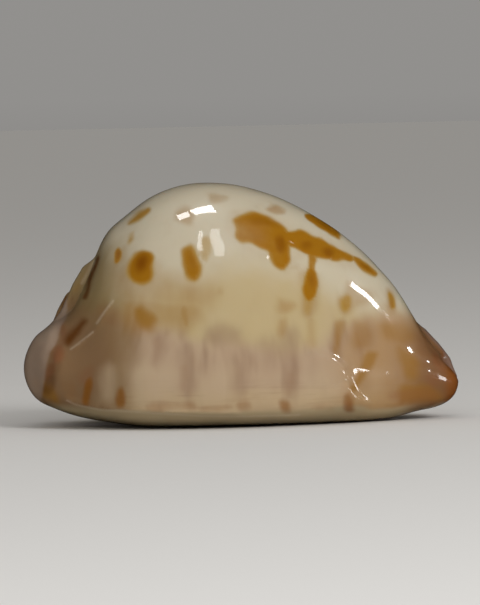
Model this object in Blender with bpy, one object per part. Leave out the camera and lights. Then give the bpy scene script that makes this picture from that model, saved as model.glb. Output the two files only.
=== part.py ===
"""A humped cowrie shell, standing on its base.

+X points to the front tip, +Z up, and the outer lip is on the -Y side. The origin is
the middle of the outline, on the surface that the shell rests on. The shell is one
hollow solid: an egg-shaped body with the folds of its two ends blended into it, the
chamber, the long mouth with its two end channels, and the gaps between the teeth.
Sizes are in millimetres and are turned to metres by MM.
"""

import math

import bmesh
import bpy
import numpy as np
from mathutils import Matrix, Vector

MM = 0.001

# The body, as reaches from its centre line. Each pair is a station along X and a size.
BODY_HALF = 33.0
CROWN_HEIGHT = (
    (-32.4, 11.0), (-31.2, 13.1), (-30.0, 14.2), (-28.5, 15.3), (-27.0, 16.5),
    (-25.5, 18.4), (-24.0, 21.2), (-22.5, 24.5), (-21.0, 27.2), (-18.0, 30.9),
    (-14.0, 33.95), (-10.0, 35.75), (-5.0, 36.5), (0.0, 36.0), (6.0, 34.05),
    (12.0, 30.8), (18.0, 26.1), (22.0, 21.7), (25.2, 16.9), (27.0, 14.1),
    (28.8, 11.2), (30.6, 8.7), (32.4, 6.0),
)
SOLE_HEIGHT = (
    (-32.4, 6.2), (-31.2, 4.5), (-29.4, 3.3), (-27.0, 2.25), (-24.0, 1.35), (-20.0, 0.6),
    (-15.0, -0.1), (-8.0, -0.3), (4.0, -0.3), (14.0, -0.3), (20.0, -0.1), (24.0, 0.45),
    (27.0, 1.2), (30.0, 1.8), (32.4, 3.4),
)
OUTER_LIP_REACH = (
    (-31.5, 5.0), (-30.0, 8.2), (-26.0, 12.6), (-20.0, 17.3), (-12.0, 20.6), (-5.0, 21.5),
    (2.0, 20.8), (10.0, 17.9), (17.0, 14.1), (23.0, 10.4), (28.0, 7.4), (31.0, 5.0),
)
INNER_LIP_REACH = (
    (-31.5, 4.4), (-30.0, 7.2), (-26.0, 11.6), (-20.0, 16.3), (-12.0, 20.0), (-5.0, 21.1),
    (2.0, 20.3), (10.0, 17.2), (17.0, 13.3), (23.0, 9.6), (28.0, 6.7), (31.0, 4.5),
)
CENTRE_HEIGHT = ((-33.0, 8.7), (-30.0, 8.2), (-26.0, 7.0), (-20.0, 5.8), (-10.0, 5.0),
                 (10.0, 4.8), (20.0, 4.6), (27.0, 4.8), (33.0, 5.0))
CENTRE_SIDE = ((-33.0, -2.2), (-28.0, -1.2), (-20.0, -0.2), (-8.0, 0.0), (33.0, 0.0))
CROWN_POWER = 2.05
SOLE_POWER = 3.3
CALLUS_RISE = 0.055
CALLUS_ANGLE = 0.16
CALLUS_SPREAD = 0.30

# The chamber inside, in the same way
CHAMBER_MIDDLE = -0.5
CHAMBER_HALF = 25.0
CHAMBER_CROWN = ((-22.0, 18.5), (-18.0, 26.6), (-12.0, 31.4), (-5.0, 33.6), (2.0, 32.9),
                 (8.0, 30.2), (14.0, 25.9), (19.0, 20.6), (22.5, 14.6))
CHAMBER_FLOOR = ((-22.0, 8.6), (-15.0, 6.4), (-5.0, 5.0), (5.0, 4.8), (15.0, 5.0), (22.5, 6.8))
CHAMBER_OUTER = ((-22.0, 8.0), (-12.0, 15.8), (-5.0, 17.3), (3.0, 16.5), (10.0, 13.9),
                 (17.0, 9.8), (22.5, 4.8))
CHAMBER_INNER = ((-22.0, 7.2), (-12.0, 15.0), (-5.0, 16.6), (3.0, 15.7), (10.0, 13.1),
                 (17.0, 9.1), (22.5, 4.4))
CHAMBER_CENTRE = ((-25.5, 12.5), (-10.0, 13.0), (5.0, 12.5), (15.0, 11.0), (24.5, 9.5))
CHAMBER_POWER = 2.2

# The mouth: where it runs, half its width, and how high it reaches
MOUTH_SIDE = ((-36.0, 2.6), (-31.0, 2.2), (-27.0, 1.4), (-22.0, -0.4), (-15.0, -2.0),
              (-5.0, -2.8), (5.0, -2.5), (14.0, -1.6), (22.0, -0.5), (28.0, 0.1), (36.0, 0.2))
MOUTH_HALF_WIDTH = ((-36.0, 2.4), (-30.0, 2.1), (-26.0, 1.9), (-20.0, 1.95), (-10.0, 2.1),
                    (0.0, 2.3), (10.0, 2.6), (18.0, 2.9), (23.0, 2.7), (28.0, 1.9), (36.0, 1.8))
MOUTH_CEILING = ((-36.0, 22.0), (-31.0, 16.5), (-29.0, 12.5), (-26.0, 10.5), (-18.0, 11.0),
                 (10.0, 11.0), (19.0, 9.0), (24.0, 7.2), (28.5, 6.4), (31.0, 10.0), (36.0, 20.0))
MOUTH_END = 36.0
MOUTH_STEPS = 34
LIP_FLARE = ((-2.0, 1.5), (0.0, 1.5), (0.35, 0.85), (0.9, 0.4), (1.8, 0.1), (3.2, 0.0))

# The folds at the two ends, as points (x, y, z, radius) along each, and the groove beside one
SPIRE_FOLD = ((-20.9, 1.2, 24.6, 1.0), (-22.6, 0.9, 22.6, 1.4), (-23.9, 0.4, 20.3, 1.5),
              (-25.1, -0.3, 17.9, 1.4), (-26.2, -1.0, 15.8, 1.0))
FAR_BACK_FOLD = ((-23.6, 4.6, 20.4, 1.0), (-25.0, 5.0, 18.3, 1.6), (-26.0, 5.4, 15.8, 1.8),
                 (-27.6, 5.9, 12.0, 2.1), (-28.4, 6.2, 8.0, 2.6))
NEAR_BACK_LOBE = ((-27.2, -5.4, 11.2, 2.2), (-29.2, -3.8, 9.4, 2.5), (-28.6, -4.8, 6.6, 2.4))
NEAR_FRONT_FLANGE = ((22.0, -7.4, 8.6, 2.2), (27.0, -5.2, 7.6, 2.4), (30.6, -3.1, 5.5, 1.9))
FAR_FRONT_FLANGE = ((25.6, 3.4, 13.0, 1.2), (27.2, 3.3, 12.0, 1.5), (28.9, 3.1, 10.1, 1.5),
                    (30.4, 2.9, 7.6, 1.5), (31.0, 2.8, 5.6, 1.5))
FOLDS = (SPIRE_FOLD, FAR_BACK_FOLD, NEAR_BACK_LOBE, NEAR_FRONT_FLANGE, FAR_FRONT_FLANGE)
SPIRE_GROOVE = ((-21.4, -1.8, 26.7, 0.9), (-23.8, -2.3, 23.2, 1.4), (-25.7, -3.2, 19.2, 1.3))
GROOVES = (SPIRE_GROOVE,)
FOLD_BLEND = 1.8
GROOVE_BLEND = 1.0

# The points of both eggs are found along rays from a short spine, from outside inwards
BODY_SPINE = ((-15.0, -2.2, 8.7), (-5.0, -0.4, 12.5), (5.0, 0.0, 12.0), (15.0, 0.0, 5.0))
CHAMBER_SPINE = ((-10.0, 0.0, 12.5), (0.0, 0.0, 13.0), (10.0, 0.0, 9.5))
RAY_LENGTH = 30.0
RAY_STEPS = 75
RAY_HALVINGS = 14
SLOPE_STEP = 0.05

# The gaps between the teeth along the two lips
TOOTH_PITCH = 2.3
OUTER_TEETH = (-24.5, 25.5)
INNER_TEETH = (-21.0, 24.0)
OUTER_GAP_RADII = (0.50, 2.7, 1.15)
INNER_GAP_RADII = (0.45, 1.9, 0.85)
GAP_BACK = 0.9

BODY_SEGMENTS = (60, 52)
CHAMBER_SEGMENTS = (22, 16)
FLOOR_SLAB = (90.0, 70.0, 10.0)
SMOOTH_ANGLE = math.radians(40.0)
SHELL_COLOUR = (0.72, 0.58, 0.42, 1.0)
SHELL_ROUGHNESS = 0.12


def smooth_curve(stations):
    """A natural cubic spline through (x, value) stations, as a function of x."""
    xs, values = np.array(stations, float).T
    gaps = np.diff(xs)
    rows = np.eye(len(xs))
    right = np.zeros(len(xs))
    for i in range(1, len(xs) - 1):
        rows[i, i - 1:i + 2] = gaps[i - 1], 2 * (gaps[i - 1] + gaps[i]), gaps[i]
        right[i] = 6 * ((values[i + 1] - values[i]) / gaps[i] - (values[i] - values[i - 1]) / gaps[i - 1])
    bend = np.linalg.solve(rows, right)

    def value_at(x):
        x = np.clip(x, xs[0], xs[-1])
        i = np.clip(np.searchsorted(xs, x) - 1, 0, len(gaps) - 1)
        after, before, gap = x - xs[i], xs[i + 1] - x, gaps[i]
        curved = (bend[i] * before ** 3 + bend[i + 1] * after ** 3) / (6 * gap)
        start = values[i] / gap - bend[i] * gap / 6
        end = values[i + 1] / gap - bend[i + 1] * gap / 6
        return curved + start * before + end * after

    return value_at


def smooth_least(one, other, blend):
    """The lesser of two distances, rounded off where they are close to each other."""
    share = np.clip(0.5 + 0.5 * (other - one) / blend, 0.0, 1.0)
    return other + (one - other) * share - blend * share * (1.0 - share)


def fold_distance(places, points):
    """Distances from the places to a tapered, round-ended fold through points."""
    nearest = np.full(len(places), np.inf)
    for start, end in zip(np.array(points), np.array(points[1:])):
        run = (end - start)[:3]
        share = np.clip((places - start[:3]) @ run / (run @ run), 0.0, 1.0)
        gap = np.linalg.norm(places - start[:3] - share[:, None] * run, axis=1)
        nearest = np.minimum(nearest, gap - start[3] - share * (end[3] - start[3]))
    return nearest


class Egg:
    """An egg-shaped surface along X, whose reach up, down and to each side follows stations."""

    def __init__(self, middle, half, centre_side, centre_height, crown, sole, outer, inner, powers, callus=0.0):
        self.middle = middle
        self.half = half
        self.side_at = smooth_curve(centre_side)
        self.height_at = smooth_curve(centre_height)
        self.crown = self.reach_curve([(x, z - self.height_at(x)) for x, z in crown])
        self.sole = self.reach_curve([(x, self.height_at(x) - z) for x, z in sole])
        self.outer = self.reach_curve(outer)
        self.inner = self.reach_curve(inner)
        self.crown_power, self.sole_power = powers
        self.callus = callus

    def roundness(self, x):
        """How full the egg is at x: 1 at its middle and 0 at its two tips."""
        return np.sqrt(np.maximum(0.0, 1.0 - ((x - self.middle) / self.half) ** 2))

    def reach_curve(self, stations):
        """The reaches without the rounding of the tips, which stay finite there."""
        scaled = [(x, reach / self.roundness(x)) for x, reach in stations]
        first, last = scaled[0][1], scaled[-1][1]
        return smooth_curve([(self.middle - self.half, first), *scaled, (self.middle + self.half, last)])

    def excess(self, x, across, up):
        """How far beyond the egg a point is, measured across X."""
        radius = np.hypot(across, up) + 1e-9
        cosine, sine = across / radius, up / radius
        side = np.where(across < 0, self.outer(x), self.inner(x))
        rise = np.where(up > 0, self.crown(x), self.sole(x))
        power = np.where(up > 0, self.crown_power, self.sole_power)
        reach = (1e-9 + np.abs(cosine / side) ** power + np.abs(sine / rise) ** power) ** (-1 / power)
        above = (np.arcsin(np.clip(sine, -1.0, 1.0)) - CALLUS_ANGLE) / CALLUS_SPREAD
        reach = reach * (1 + self.callus * np.exp(-(above ** 2)))
        return radius - reach * self.roundness(x)

    def level(self, places):
        """About the distance from the places to the egg, negative inside it."""
        x, y, z = places.T
        across, up = y - self.side_at(x), z - self.height_at(x)
        here = self.excess(x, across, up)
        slope = (self.excess(x + SLOPE_STEP, across, up) - self.excess(x - SLOPE_STEP, across, up))
        return np.maximum(here / np.hypot(1.0, slope / (2 * SLOPE_STEP)), np.abs(x - self.middle) - self.half)


def folded_level(egg, places):
    """About the distance to the egg with the folds blended onto it and the grooves cut in."""
    value = egg.level(places)
    for fold in FOLDS:
        value = smooth_least(value, fold_distance(places, fold), FOLD_BLEND)
    for groove in GROOVES:
        value = -smooth_least(-value, fold_distance(places, groove), GROOVE_BLEND)
    return value


def surface_points(level, spine, directions):
    """The outermost points of the surface where level is 0, along rays that fan out from the spine."""
    stations = np.array(spine)
    half = stations[-1, 0]
    x = half * directions[:, 0]
    y = smooth_curve(stations[:, :2])(x)
    z = smooth_curve(stations[:, ::2])(x)
    start = np.stack([x, y, z], axis=1)
    outside = np.full(len(x), RAY_LENGTH)
    inside = np.zeros(len(x))
    found = np.zeros(len(x), bool)
    for step in range(1, RAY_STEPS):
        trial = RAY_LENGTH * (1 - step / RAY_STEPS)
        hit = ~found & (level(start + directions * trial) <= 0)
        inside[hit] = trial
        found |= hit
        outside[~found] = trial
    for _ in range(RAY_HALVINGS):
        middle = (inside + outside) / 2
        solid = level(start + directions * middle[:, None]) <= 0
        inside = np.where(solid, middle, inside)
        outside = np.where(solid, outside, middle)
    return start + directions * inside[:, None]


def new_object(name, bm, collection):
    """Makes an object of a finished bmesh, with its normals pointing out."""
    bm.normal_update()
    bmesh.ops.recalc_face_normals(bm, faces=bm.faces)
    mesh = bpy.data.meshes.new(name)
    bm.to_mesh(mesh)
    bm.free()
    made = bpy.data.objects.new(name, mesh)
    collection.objects.link(made)
    return made


def make_egg(name, level, spine, segments, collection):
    """A sphere whose poles lie along X, with each point moved out to where level is 0."""
    around, along = segments
    bm = bmesh.new()
    bmesh.ops.create_uvsphere(bm, u_segments=around, v_segments=along, radius=1.0)
    directions = np.array([vertex.co[:] for vertex in bm.verts])[:, (2, 0, 1)]
    directions /= np.linalg.norm(directions, axis=1)[:, None]
    for vertex, place in zip(bm.verts, surface_points(level, spine, directions)):
        vertex.co = Vector(place) * MM
    return new_object(name, bm, collection)


def make_mouth(collection):
    """The cutter for the mouth: a long block, bent along the mouth and flared at the lips."""
    side_at = smooth_curve(MOUTH_SIDE)
    half_at = smooth_curve(MOUTH_HALF_WIDTH)
    ceiling_at = smooth_curve(MOUTH_CEILING)
    bm = bmesh.new()
    bmesh.ops.create_cube(bm, size=1.0)
    for axis, cuts in ((0, MOUTH_STEPS - 1), (2, len(LIP_FLARE) - 1)):
        edges = [e for e in bm.edges if abs((e.verts[0].co - e.verts[1].co)[axis]) > 0.5]
        bmesh.ops.subdivide_edges(bm, edges=edges, cuts=cuts, use_grid_fill=True)
    for vertex in bm.verts:
        x = vertex.co.x * 2 * MOUTH_END
        level = round((vertex.co.z + 0.5) * len(LIP_FLARE))
        height, flare = LIP_FLARE[level] if level < len(LIP_FLARE) else (ceiling_at(x), 0.0)
        across = math.copysign(half_at(x) + flare, vertex.co.y)
        vertex.co = Vector((x, side_at(x) + across, height)) * MM
    return new_object("mouth", bm, collection)


def make_tooth_gaps(collection):
    """Small hollows across both lips, which leave the teeth standing between them."""
    side_at = smooth_curve(MOUTH_SIDE)
    half_at = smooth_curve(MOUTH_HALF_WIDTH)
    bm = bmesh.new()
    for lip, (start, end), radii in ((-1, OUTER_TEETH, OUTER_GAP_RADII), (1, INNER_TEETH, INNER_GAP_RADII)):
        for i in range(int((end - start) / TOOTH_PITCH) + 1):
            x = start + i * TOOTH_PITCH
            centre = Vector((x, side_at(x) + lip * (half_at(x) + GAP_BACK), 0.2)) * MM
            place = Matrix.Translation(centre) @ Matrix.Diagonal((*(Vector(radii) * MM), 1.0))
            bmesh.ops.create_uvsphere(bm, u_segments=8, v_segments=6, radius=1.0, matrix=place)
    return new_object("tooth_gaps", bm, collection)


def make_table(collection):
    """A slab below the rest plane, which cuts the two small flat spots that the shell stands on."""
    bm = bmesh.new()
    size = Vector(FLOOR_SLAB) * MM
    place = Matrix.Translation((0.0, 0.0, -size.z / 2)) @ Matrix.Diagonal((*size, 1.0))
    bmesh.ops.create_cube(bm, size=1.0, matrix=place)
    return new_object("table", bm, collection)


def apply_boolean(target, operation, cutter):
    """Adds an exact Boolean to the target, and hides its cutter."""
    modifier = target.modifiers.new(f"{operation.lower()} {cutter.name}", "BOOLEAN")
    modifier.operation = operation
    modifier.solver = "EXACT"
    modifier.object = cutter
    cutter.hide_render = True
    cutter.display_type = "WIRE"


def shell_material():
    """Warm cream enamel with a high gloss."""
    material = bpy.data.materials.new("enamel")
    material.use_nodes = True
    shader = material.node_tree.nodes["Principled BSDF"]
    shader.inputs["Base Color"].default_value = SHELL_COLOUR
    shader.inputs["Roughness"].default_value = SHELL_ROUGHNESS
    shader.inputs["Metallic"].default_value = 0.0
    return material


def build():
    """Builds the shell and hands back its object."""
    for old in list(bpy.data.objects):
        bpy.data.objects.remove(old)
    scene = bpy.context.scene.collection
    parts = bpy.data.collections.new("cowrie_shell")
    cutters = bpy.data.collections.new("cutters")
    scene.children.link(parts)
    scene.children.link(cutters)

    body = Egg(0.0, BODY_HALF, CENTRE_SIDE, CENTRE_HEIGHT, CROWN_HEIGHT, SOLE_HEIGHT,
               OUTER_LIP_REACH, INNER_LIP_REACH, (CROWN_POWER, SOLE_POWER), CALLUS_RISE)
    chamber = Egg(CHAMBER_MIDDLE, CHAMBER_HALF, ((-26.0, 0.0), (25.0, 0.0)), CHAMBER_CENTRE, CHAMBER_CROWN,
                  CHAMBER_FLOOR, CHAMBER_OUTER, CHAMBER_INNER, (CHAMBER_POWER, CHAMBER_POWER))
    shell = make_egg("shell", lambda places: folded_level(body, places), BODY_SPINE, BODY_SEGMENTS, parts)
    shell.data.materials.append(shell_material())

    apply_boolean(shell, "DIFFERENCE", make_egg("chamber", chamber.level, CHAMBER_SPINE, CHAMBER_SEGMENTS, cutters))
    apply_boolean(shell, "DIFFERENCE", make_mouth(cutters))
    apply_boolean(shell, "DIFFERENCE", make_tooth_gaps(cutters))
    apply_boolean(shell, "DIFFERENCE", make_table(cutters))
    shell.data.shade_smooth()
    shell.data.set_sharp_from_angle(angle=SMOOTH_ANGLE)
    return shell


build()
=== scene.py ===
"""The finish of a humped cowrie shell: its skin, teeth, enamel and studio.

The skin is one closed mesh. Its form is a distance field in millimetres, with +X to
the front tip, +Z up and the outer lip on the -Y side. The same body, folds, chamber
and mouth as the solid's are blended in it, with the fine relief added. Markings are
float attributes on the skin's points, which the enamel's nodes turn into colour.
"""

from __future__ import annotations

import logging
import math
from dataclasses import dataclass, field
from enum import Enum

import bpy
import numpy as np
from mathutils import Matrix, Vector, noise

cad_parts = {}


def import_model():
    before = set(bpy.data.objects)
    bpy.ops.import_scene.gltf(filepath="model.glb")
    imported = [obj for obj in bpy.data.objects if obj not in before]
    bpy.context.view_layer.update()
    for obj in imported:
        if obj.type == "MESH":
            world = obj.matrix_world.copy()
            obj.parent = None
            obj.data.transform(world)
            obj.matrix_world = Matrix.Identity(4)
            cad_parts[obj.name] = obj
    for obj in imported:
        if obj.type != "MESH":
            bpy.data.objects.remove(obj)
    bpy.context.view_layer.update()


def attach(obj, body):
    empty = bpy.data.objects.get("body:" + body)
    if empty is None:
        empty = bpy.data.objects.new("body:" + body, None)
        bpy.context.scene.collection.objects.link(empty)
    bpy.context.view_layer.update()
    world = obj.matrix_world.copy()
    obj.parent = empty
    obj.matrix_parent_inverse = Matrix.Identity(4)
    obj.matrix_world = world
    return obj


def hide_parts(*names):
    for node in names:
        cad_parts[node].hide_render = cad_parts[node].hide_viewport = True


LOG = logging.getLogger("cowrie")
MM = 0.001

Array = np.ndarray
Span = tuple[float, float]
Stations = tuple[tuple[float, float], ...]
Path = tuple[tuple[float, float], ...]
Colour = tuple[float, float, float]
Socket = bpy.types.NodeSocket


class Side(Enum):
    """Which flank of the shell something is on, as the sign of its Y."""

    OUTER = -1
    INNER = 1


@dataclass(frozen=True)
class Maths:
    """Adds Math nodes to a node tree."""

    tree: bpy.types.NodeTree

    def __call__(self, operation: str, *values: Socket | float) -> Socket:
        """The result of one Math node on the values.

        Args:
            operation: The operation's name.
            *values: Numbers, or the sockets that they come from.

        Returns:
            The result's socket.
        """
        node = self.tree.nodes.new("ShaderNodeMath")
        node.operation = operation
        for socket, value in zip(node.inputs, values):
            if isinstance(value, Socket):
                self.tree.links.new(value, socket)
            else:
                socket.default_value = value
        return node.outputs["Value"]


def smooth_least(one: Array, other: Array, blend: Array | float) -> Array:
    """The lesser of two distances, rounded off where they are close to each other.

    Args:
        one: The first distances.
        other: The second distances.
        blend: How wide the rounded stretch is, in millimetres.

    Returns:
        The blended distances.
    """
    share = np.clip(0.5 + 0.5 * (other - one) / blend, 0.0, 1.0)
    return other + (one - other) * share - blend * share * (1.0 - share)


def smooth_most(one: Array, other: Array, blend: Array | float) -> Array:
    """The greater of two distances, rounded off in the same way."""
    return -smooth_least(-one, -other, blend)


def ease(value: Array, start: Array | float, end: Array | float) -> Array:
    """A smooth step from 0 at start to 1 at end, in either direction."""
    share = np.clip((value - start) / (end - start), 0.0, 1.0)
    return share * share * (3.0 - 2.0 * share)


@dataclass(frozen=True)
class Profile:
    """A natural cubic spline through (x, value) stations."""

    stations: Stations

    def __call__(self, x: Array) -> Array:
        """The value at each x, held constant beyond the ends.

        Args:
            x: Where the values are wanted.

        Returns:
            The values.
        """
        xs, values = np.array(self.stations, float).T
        gaps = np.diff(xs)
        rows, right = np.eye(len(xs)), np.zeros(len(xs))
        for i in range(1, len(xs) - 1):
            rows[i, i - 1:i + 2] = gaps[i - 1], 2 * (gaps[i - 1] + gaps[i]), gaps[i]
            right[i] = 6 * ((values[i + 1] - values[i]) / gaps[i] - (values[i] - values[i - 1]) / gaps[i - 1])
        bend = np.linalg.solve(rows, right)
        x = np.clip(x, xs[0], xs[-1])
        i = np.clip(np.searchsorted(xs, x) - 1, 0, len(gaps) - 1)
        after, before, gap = x - xs[i], xs[i + 1] - x, gaps[i]
        curved = (bend[i] * before**3 + bend[i + 1] * after**3) / (6 * gap)
        start = values[i] / gap - bend[i] * gap / 6
        end = values[i + 1] / gap - bend[i + 1] * gap / 6
        return curved + start * before + end * after


@dataclass(frozen=True)
class Egg:
    """An egg-shaped form along X whose reach up, down and to each side follows stations."""

    middle: float
    half: float
    centre_side: Stations
    centre_height: Stations
    crown_height: Stations
    sole_height: Stations
    outer_reach: Stations
    inner_reach: Stations
    crown_power: float
    sole_power: float
    callus_rise: float = 0.0
    callus_angle: float = 0.16
    callus_spread: float = 0.30
    slope_step: float = 0.05
    slope_reach: float = 3.0

    def roundness(self, x: Array) -> Array:
        """How full the form is at x: 1 at its middle and 0 at its two tips."""
        return np.sqrt(np.maximum(0.0, 1.0 - ((x - self.middle) / self.half) ** 2))

    def reach(self, stations: Stations) -> Profile:
        """The reaches without the rounding of the tips, which stay finite there.

        Args:
            stations: The (x, reach) stations.

        Returns:
            Their profile, from tip to tip.
        """
        scaled = [(x, reach / float(self.roundness(np.array(x)))) for x, reach in stations]
        first, last = scaled[0][1], scaled[-1][1]
        return Profile(((self.middle - self.half, first), *scaled, (self.middle + self.half, last)))

    def excess(self, x: Array, across: Array, up: Array) -> Array:
        """How far beyond the form a point is, measured across X.

        Args:
            x: The X of each point.
            across: How far each point is to the side of the form's centre.
            up: How far each point is above the centre.

        Returns:
            The excess, negative inside the form.
        """
        centre = Profile(self.centre_height)
        rise = self.reach(tuple((s, z - float(centre(np.array(s)))) for s, z in self.crown_height))
        drop = self.reach(tuple((s, float(centre(np.array(s))) - z) for s, z in self.sole_height))
        radius = np.hypot(across, up) + 1e-9
        cosine, sine = across / radius, up / radius
        side = np.where(across < 0, self.reach(self.outer_reach)(x), self.reach(self.inner_reach)(x))
        height = np.where(up > 0, rise(x), drop(x))
        power = np.where(up > 0, self.crown_power, self.sole_power)
        reach = (1e-9 + np.abs(cosine / side) ** power + np.abs(sine / height) ** power) ** (-1 / power)
        above = (np.arcsin(np.clip(sine, -1.0, 1.0)) - self.callus_angle) / self.callus_spread
        return radius - reach * (1 + self.callus_rise * np.exp(-(above**2))) * self.roundness(x)

    def level(self, places: Array) -> Array:
        """About the distance from the places to the form, negative inside it.

        Args:
            places: The places, in millimetres.

        Returns:
            The distances, in millimetres.
        """
        x, y, z = places.T
        across, up = y - Profile(self.centre_side)(x), z - Profile(self.centre_height)(x)
        here = self.excess(x, across, up)
        step = self.slope_step
        slope = (self.excess(x + step, across, up) - self.excess(x - step, across, up)) / (2 * step)
        fade = 1.0 / (1.0 + (np.maximum(here, 0.0) / self.slope_reach) ** 2)
        return np.maximum(here / np.hypot(1.0, slope * fade), np.abs(x - self.middle) - self.half)


@dataclass(frozen=True)
class Fold:
    """A tapered, round-ended fold through (x, y, z, radius) points."""

    points: tuple[tuple[float, float, float, float], ...]

    def distance(self, places: Array) -> Array:
        """The distances from the places to the fold.

        Args:
            places: The places, in millimetres.

        Returns:
            The distances, negative inside the fold.
        """
        nearest = np.full(len(places), np.inf)
        for start, end in zip(np.array(self.points), np.array(self.points[1:])):
            run = (end - start)[:3]
            share = np.clip((places - start[:3]) @ run / (run @ run), 0.0, 1.0)
            gap = np.linalg.norm(places - start[:3] - share[:, None] * run, axis=1)
            nearest = np.minimum(nearest, gap - start[3] - share * (end[3] - start[3]))
        return nearest


@dataclass(frozen=True)
class SideView:
    """The photograph's level view of the outer lip, as pixels over the shell's own places."""

    pixel: float = 0.1524
    middle_column: float = 242.0
    rest_row: float = 421.3
    columns: int = 480
    rows: int = 605
    distance: float = 900.0
    roll: float = math.radians(1.25)
    elevation: float = math.radians(2.0)

    def axes(self) -> Array:
        """The picture's right, top and backward directions, one in each row.

        Returns:
            The three directions.
        """
        turn, up = self.roll, self.elevation
        right = (math.cos(turn), -math.sin(turn) * math.sin(up), -math.sin(turn) * math.cos(up))
        top = (math.sin(turn), math.cos(turn) * math.sin(up), math.cos(turn) * math.cos(up))
        return np.array([right, top, np.cross(right, top)])

    def eye(self) -> Array:
        """The place of the eye, in millimetres.

        Returns:
            Its X, Y and Z.
        """
        right = (self.columns / 2 - self.middle_column) * self.pixel
        top = (self.rest_row - self.rows / 2) * self.pixel
        return np.array([right, top, self.distance]) @ self.axes()

    def place(self, places: Array) -> Array:
        """The (column, row) at which each place is seen.

        Args:
            places: The places, in millimetres.

        Returns:
            One (column, row) in each row.
        """
        right, top, back = ((places - self.eye()) @ self.axes().T).T
        scale = -self.distance / back / self.pixel
        return np.stack([self.columns / 2 + right * scale, self.rows / 2 - top * scale], axis=1)

    def sight(self, column: float, row: float) -> Array:
        """The direction from the eye to a spot of the picture.

        Args:
            column: The column of the spot.
            row: The row of the spot.

        Returns:
            The direction, of length 1.
        """
        right, top = (column - self.columns / 2) * self.pixel, (self.rows / 2 - row) * self.pixel
        ray = np.array([right, top, -self.distance]) @ self.axes()
        return ray / np.linalg.norm(ray)


def path_distance(spots: Array, path: Path) -> Array:
    """The distances from two-dimensional spots to a path of straight runs.

    Args:
        spots: The (column, row) of each spot.
        path: The ends of the runs.

    Returns:
        The distances, negative to the left of the path as it is walked.
    """
    nearest = np.full(len(spots), np.inf)
    for start, end in zip(np.array(path, float), np.array(path[1:], float)):
        run = end - start
        away = spots - start
        gap = away - np.clip(away @ run / (run @ run), 0.0, 1.0)[:, None] * run
        signed = np.copysign(np.linalg.norm(gap, axis=1), run[0] * away[:, 1] - run[1] * away[:, 0])
        nearest = np.where(np.abs(signed) < np.abs(nearest), signed, nearest)
    return nearest


@dataclass(frozen=True)
class Relief:
    """A fine ridge, or a groove if its height is negative, along a path seen from one side.

    It falls off over its width to the path's left, and over its own back to the right.
    It fades in and out over its fade at the path's ends, in millimetres too.
    """

    path: Path
    height: float
    width: float
    back: float
    fade: float = 1.5
    side: Side = Side.OUTER
    side_span: Span = (0.0, 2.0)
    height_span: Span = (0.5, 3.4)

    def lift(self, seen: Array, places: Array, view: SideView) -> Array:
        """How far each place is raised.

        Args:
            seen: The (column, row) of each place.
            places: The places, in millimetres.
            view: The side view that the path is given in.

        Returns:
            The lifts, in millimetres.
        """
        distance = path_distance(seen, self.path) * view.pixel
        here = ease(places[:, 1] * self.side.value, *self.side_span) * ease(places[:, 2], *self.height_span)
        ends = np.array(self.path, float)
        for end, inner in ((ends[0], ends[1]), (ends[-1], ends[-2])):
            way = (inner - end) / np.linalg.norm(inner - end)
            here = here * ease((seen - end) @ way * view.pixel, 0.0, self.fade)
        return self.height * np.exp(-((distance / np.where(distance < 0, self.width, self.back)) ** 2)) * here


@dataclass(frozen=True)
class Mouth:
    """The long mouth: where it runs, how wide it is and how high it reaches."""

    side: Stations = (
        (-36.0, 2.6), (-31.0, 2.2), (-27.0, 1.4), (-22.0, -0.4), (-15.0, -2.0),
        (-5.0, -2.8), (5.0, -2.5), (14.0, -1.6), (22.0, -0.5), (28.0, 0.1), (36.0, 0.2),
    )
    half_width: Stations = (
        (-36.0, 2.4), (-30.0, 2.1), (-26.0, 1.9), (-20.0, 1.95), (-10.0, 2.1),
        (0.0, 2.3), (10.0, 2.6), (18.0, 2.9), (23.0, 2.7), (28.0, 1.9), (36.0, 1.8),
    )
    ceiling: Stations = (
        (-36.0, 22.0), (-31.0, 16.5), (-29.0, 12.5), (-26.0, 10.5), (-18.0, 11.0),
        (10.0, 11.0), (19.0, 9.0), (24.0, 7.2), (28.5, 6.4), (31.0, 10.0), (36.0, 20.0),
    )

    def beyond_lip(self, places: Array) -> Array:
        """How far each place is beyond the wall of the mouth, negative in the mouth."""
        x, y, _ = places.T
        return np.abs(y - Profile(self.side)(x)) - Profile(self.half_width)(x)

    def level(self, places: Array) -> Array:
        """The distance to the mouth's hollow, whose roof is half round; negative inside it.

        Args:
            places: The places, in millimetres.

        Returns:
            The distances, in millimetres.
        """
        x, y, z = places.T
        half = Profile(self.half_width)(x)
        over = np.maximum(0.0, z - Profile(self.ceiling)(x) + half)
        return np.hypot(y - Profile(self.side)(x), over) - half


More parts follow.
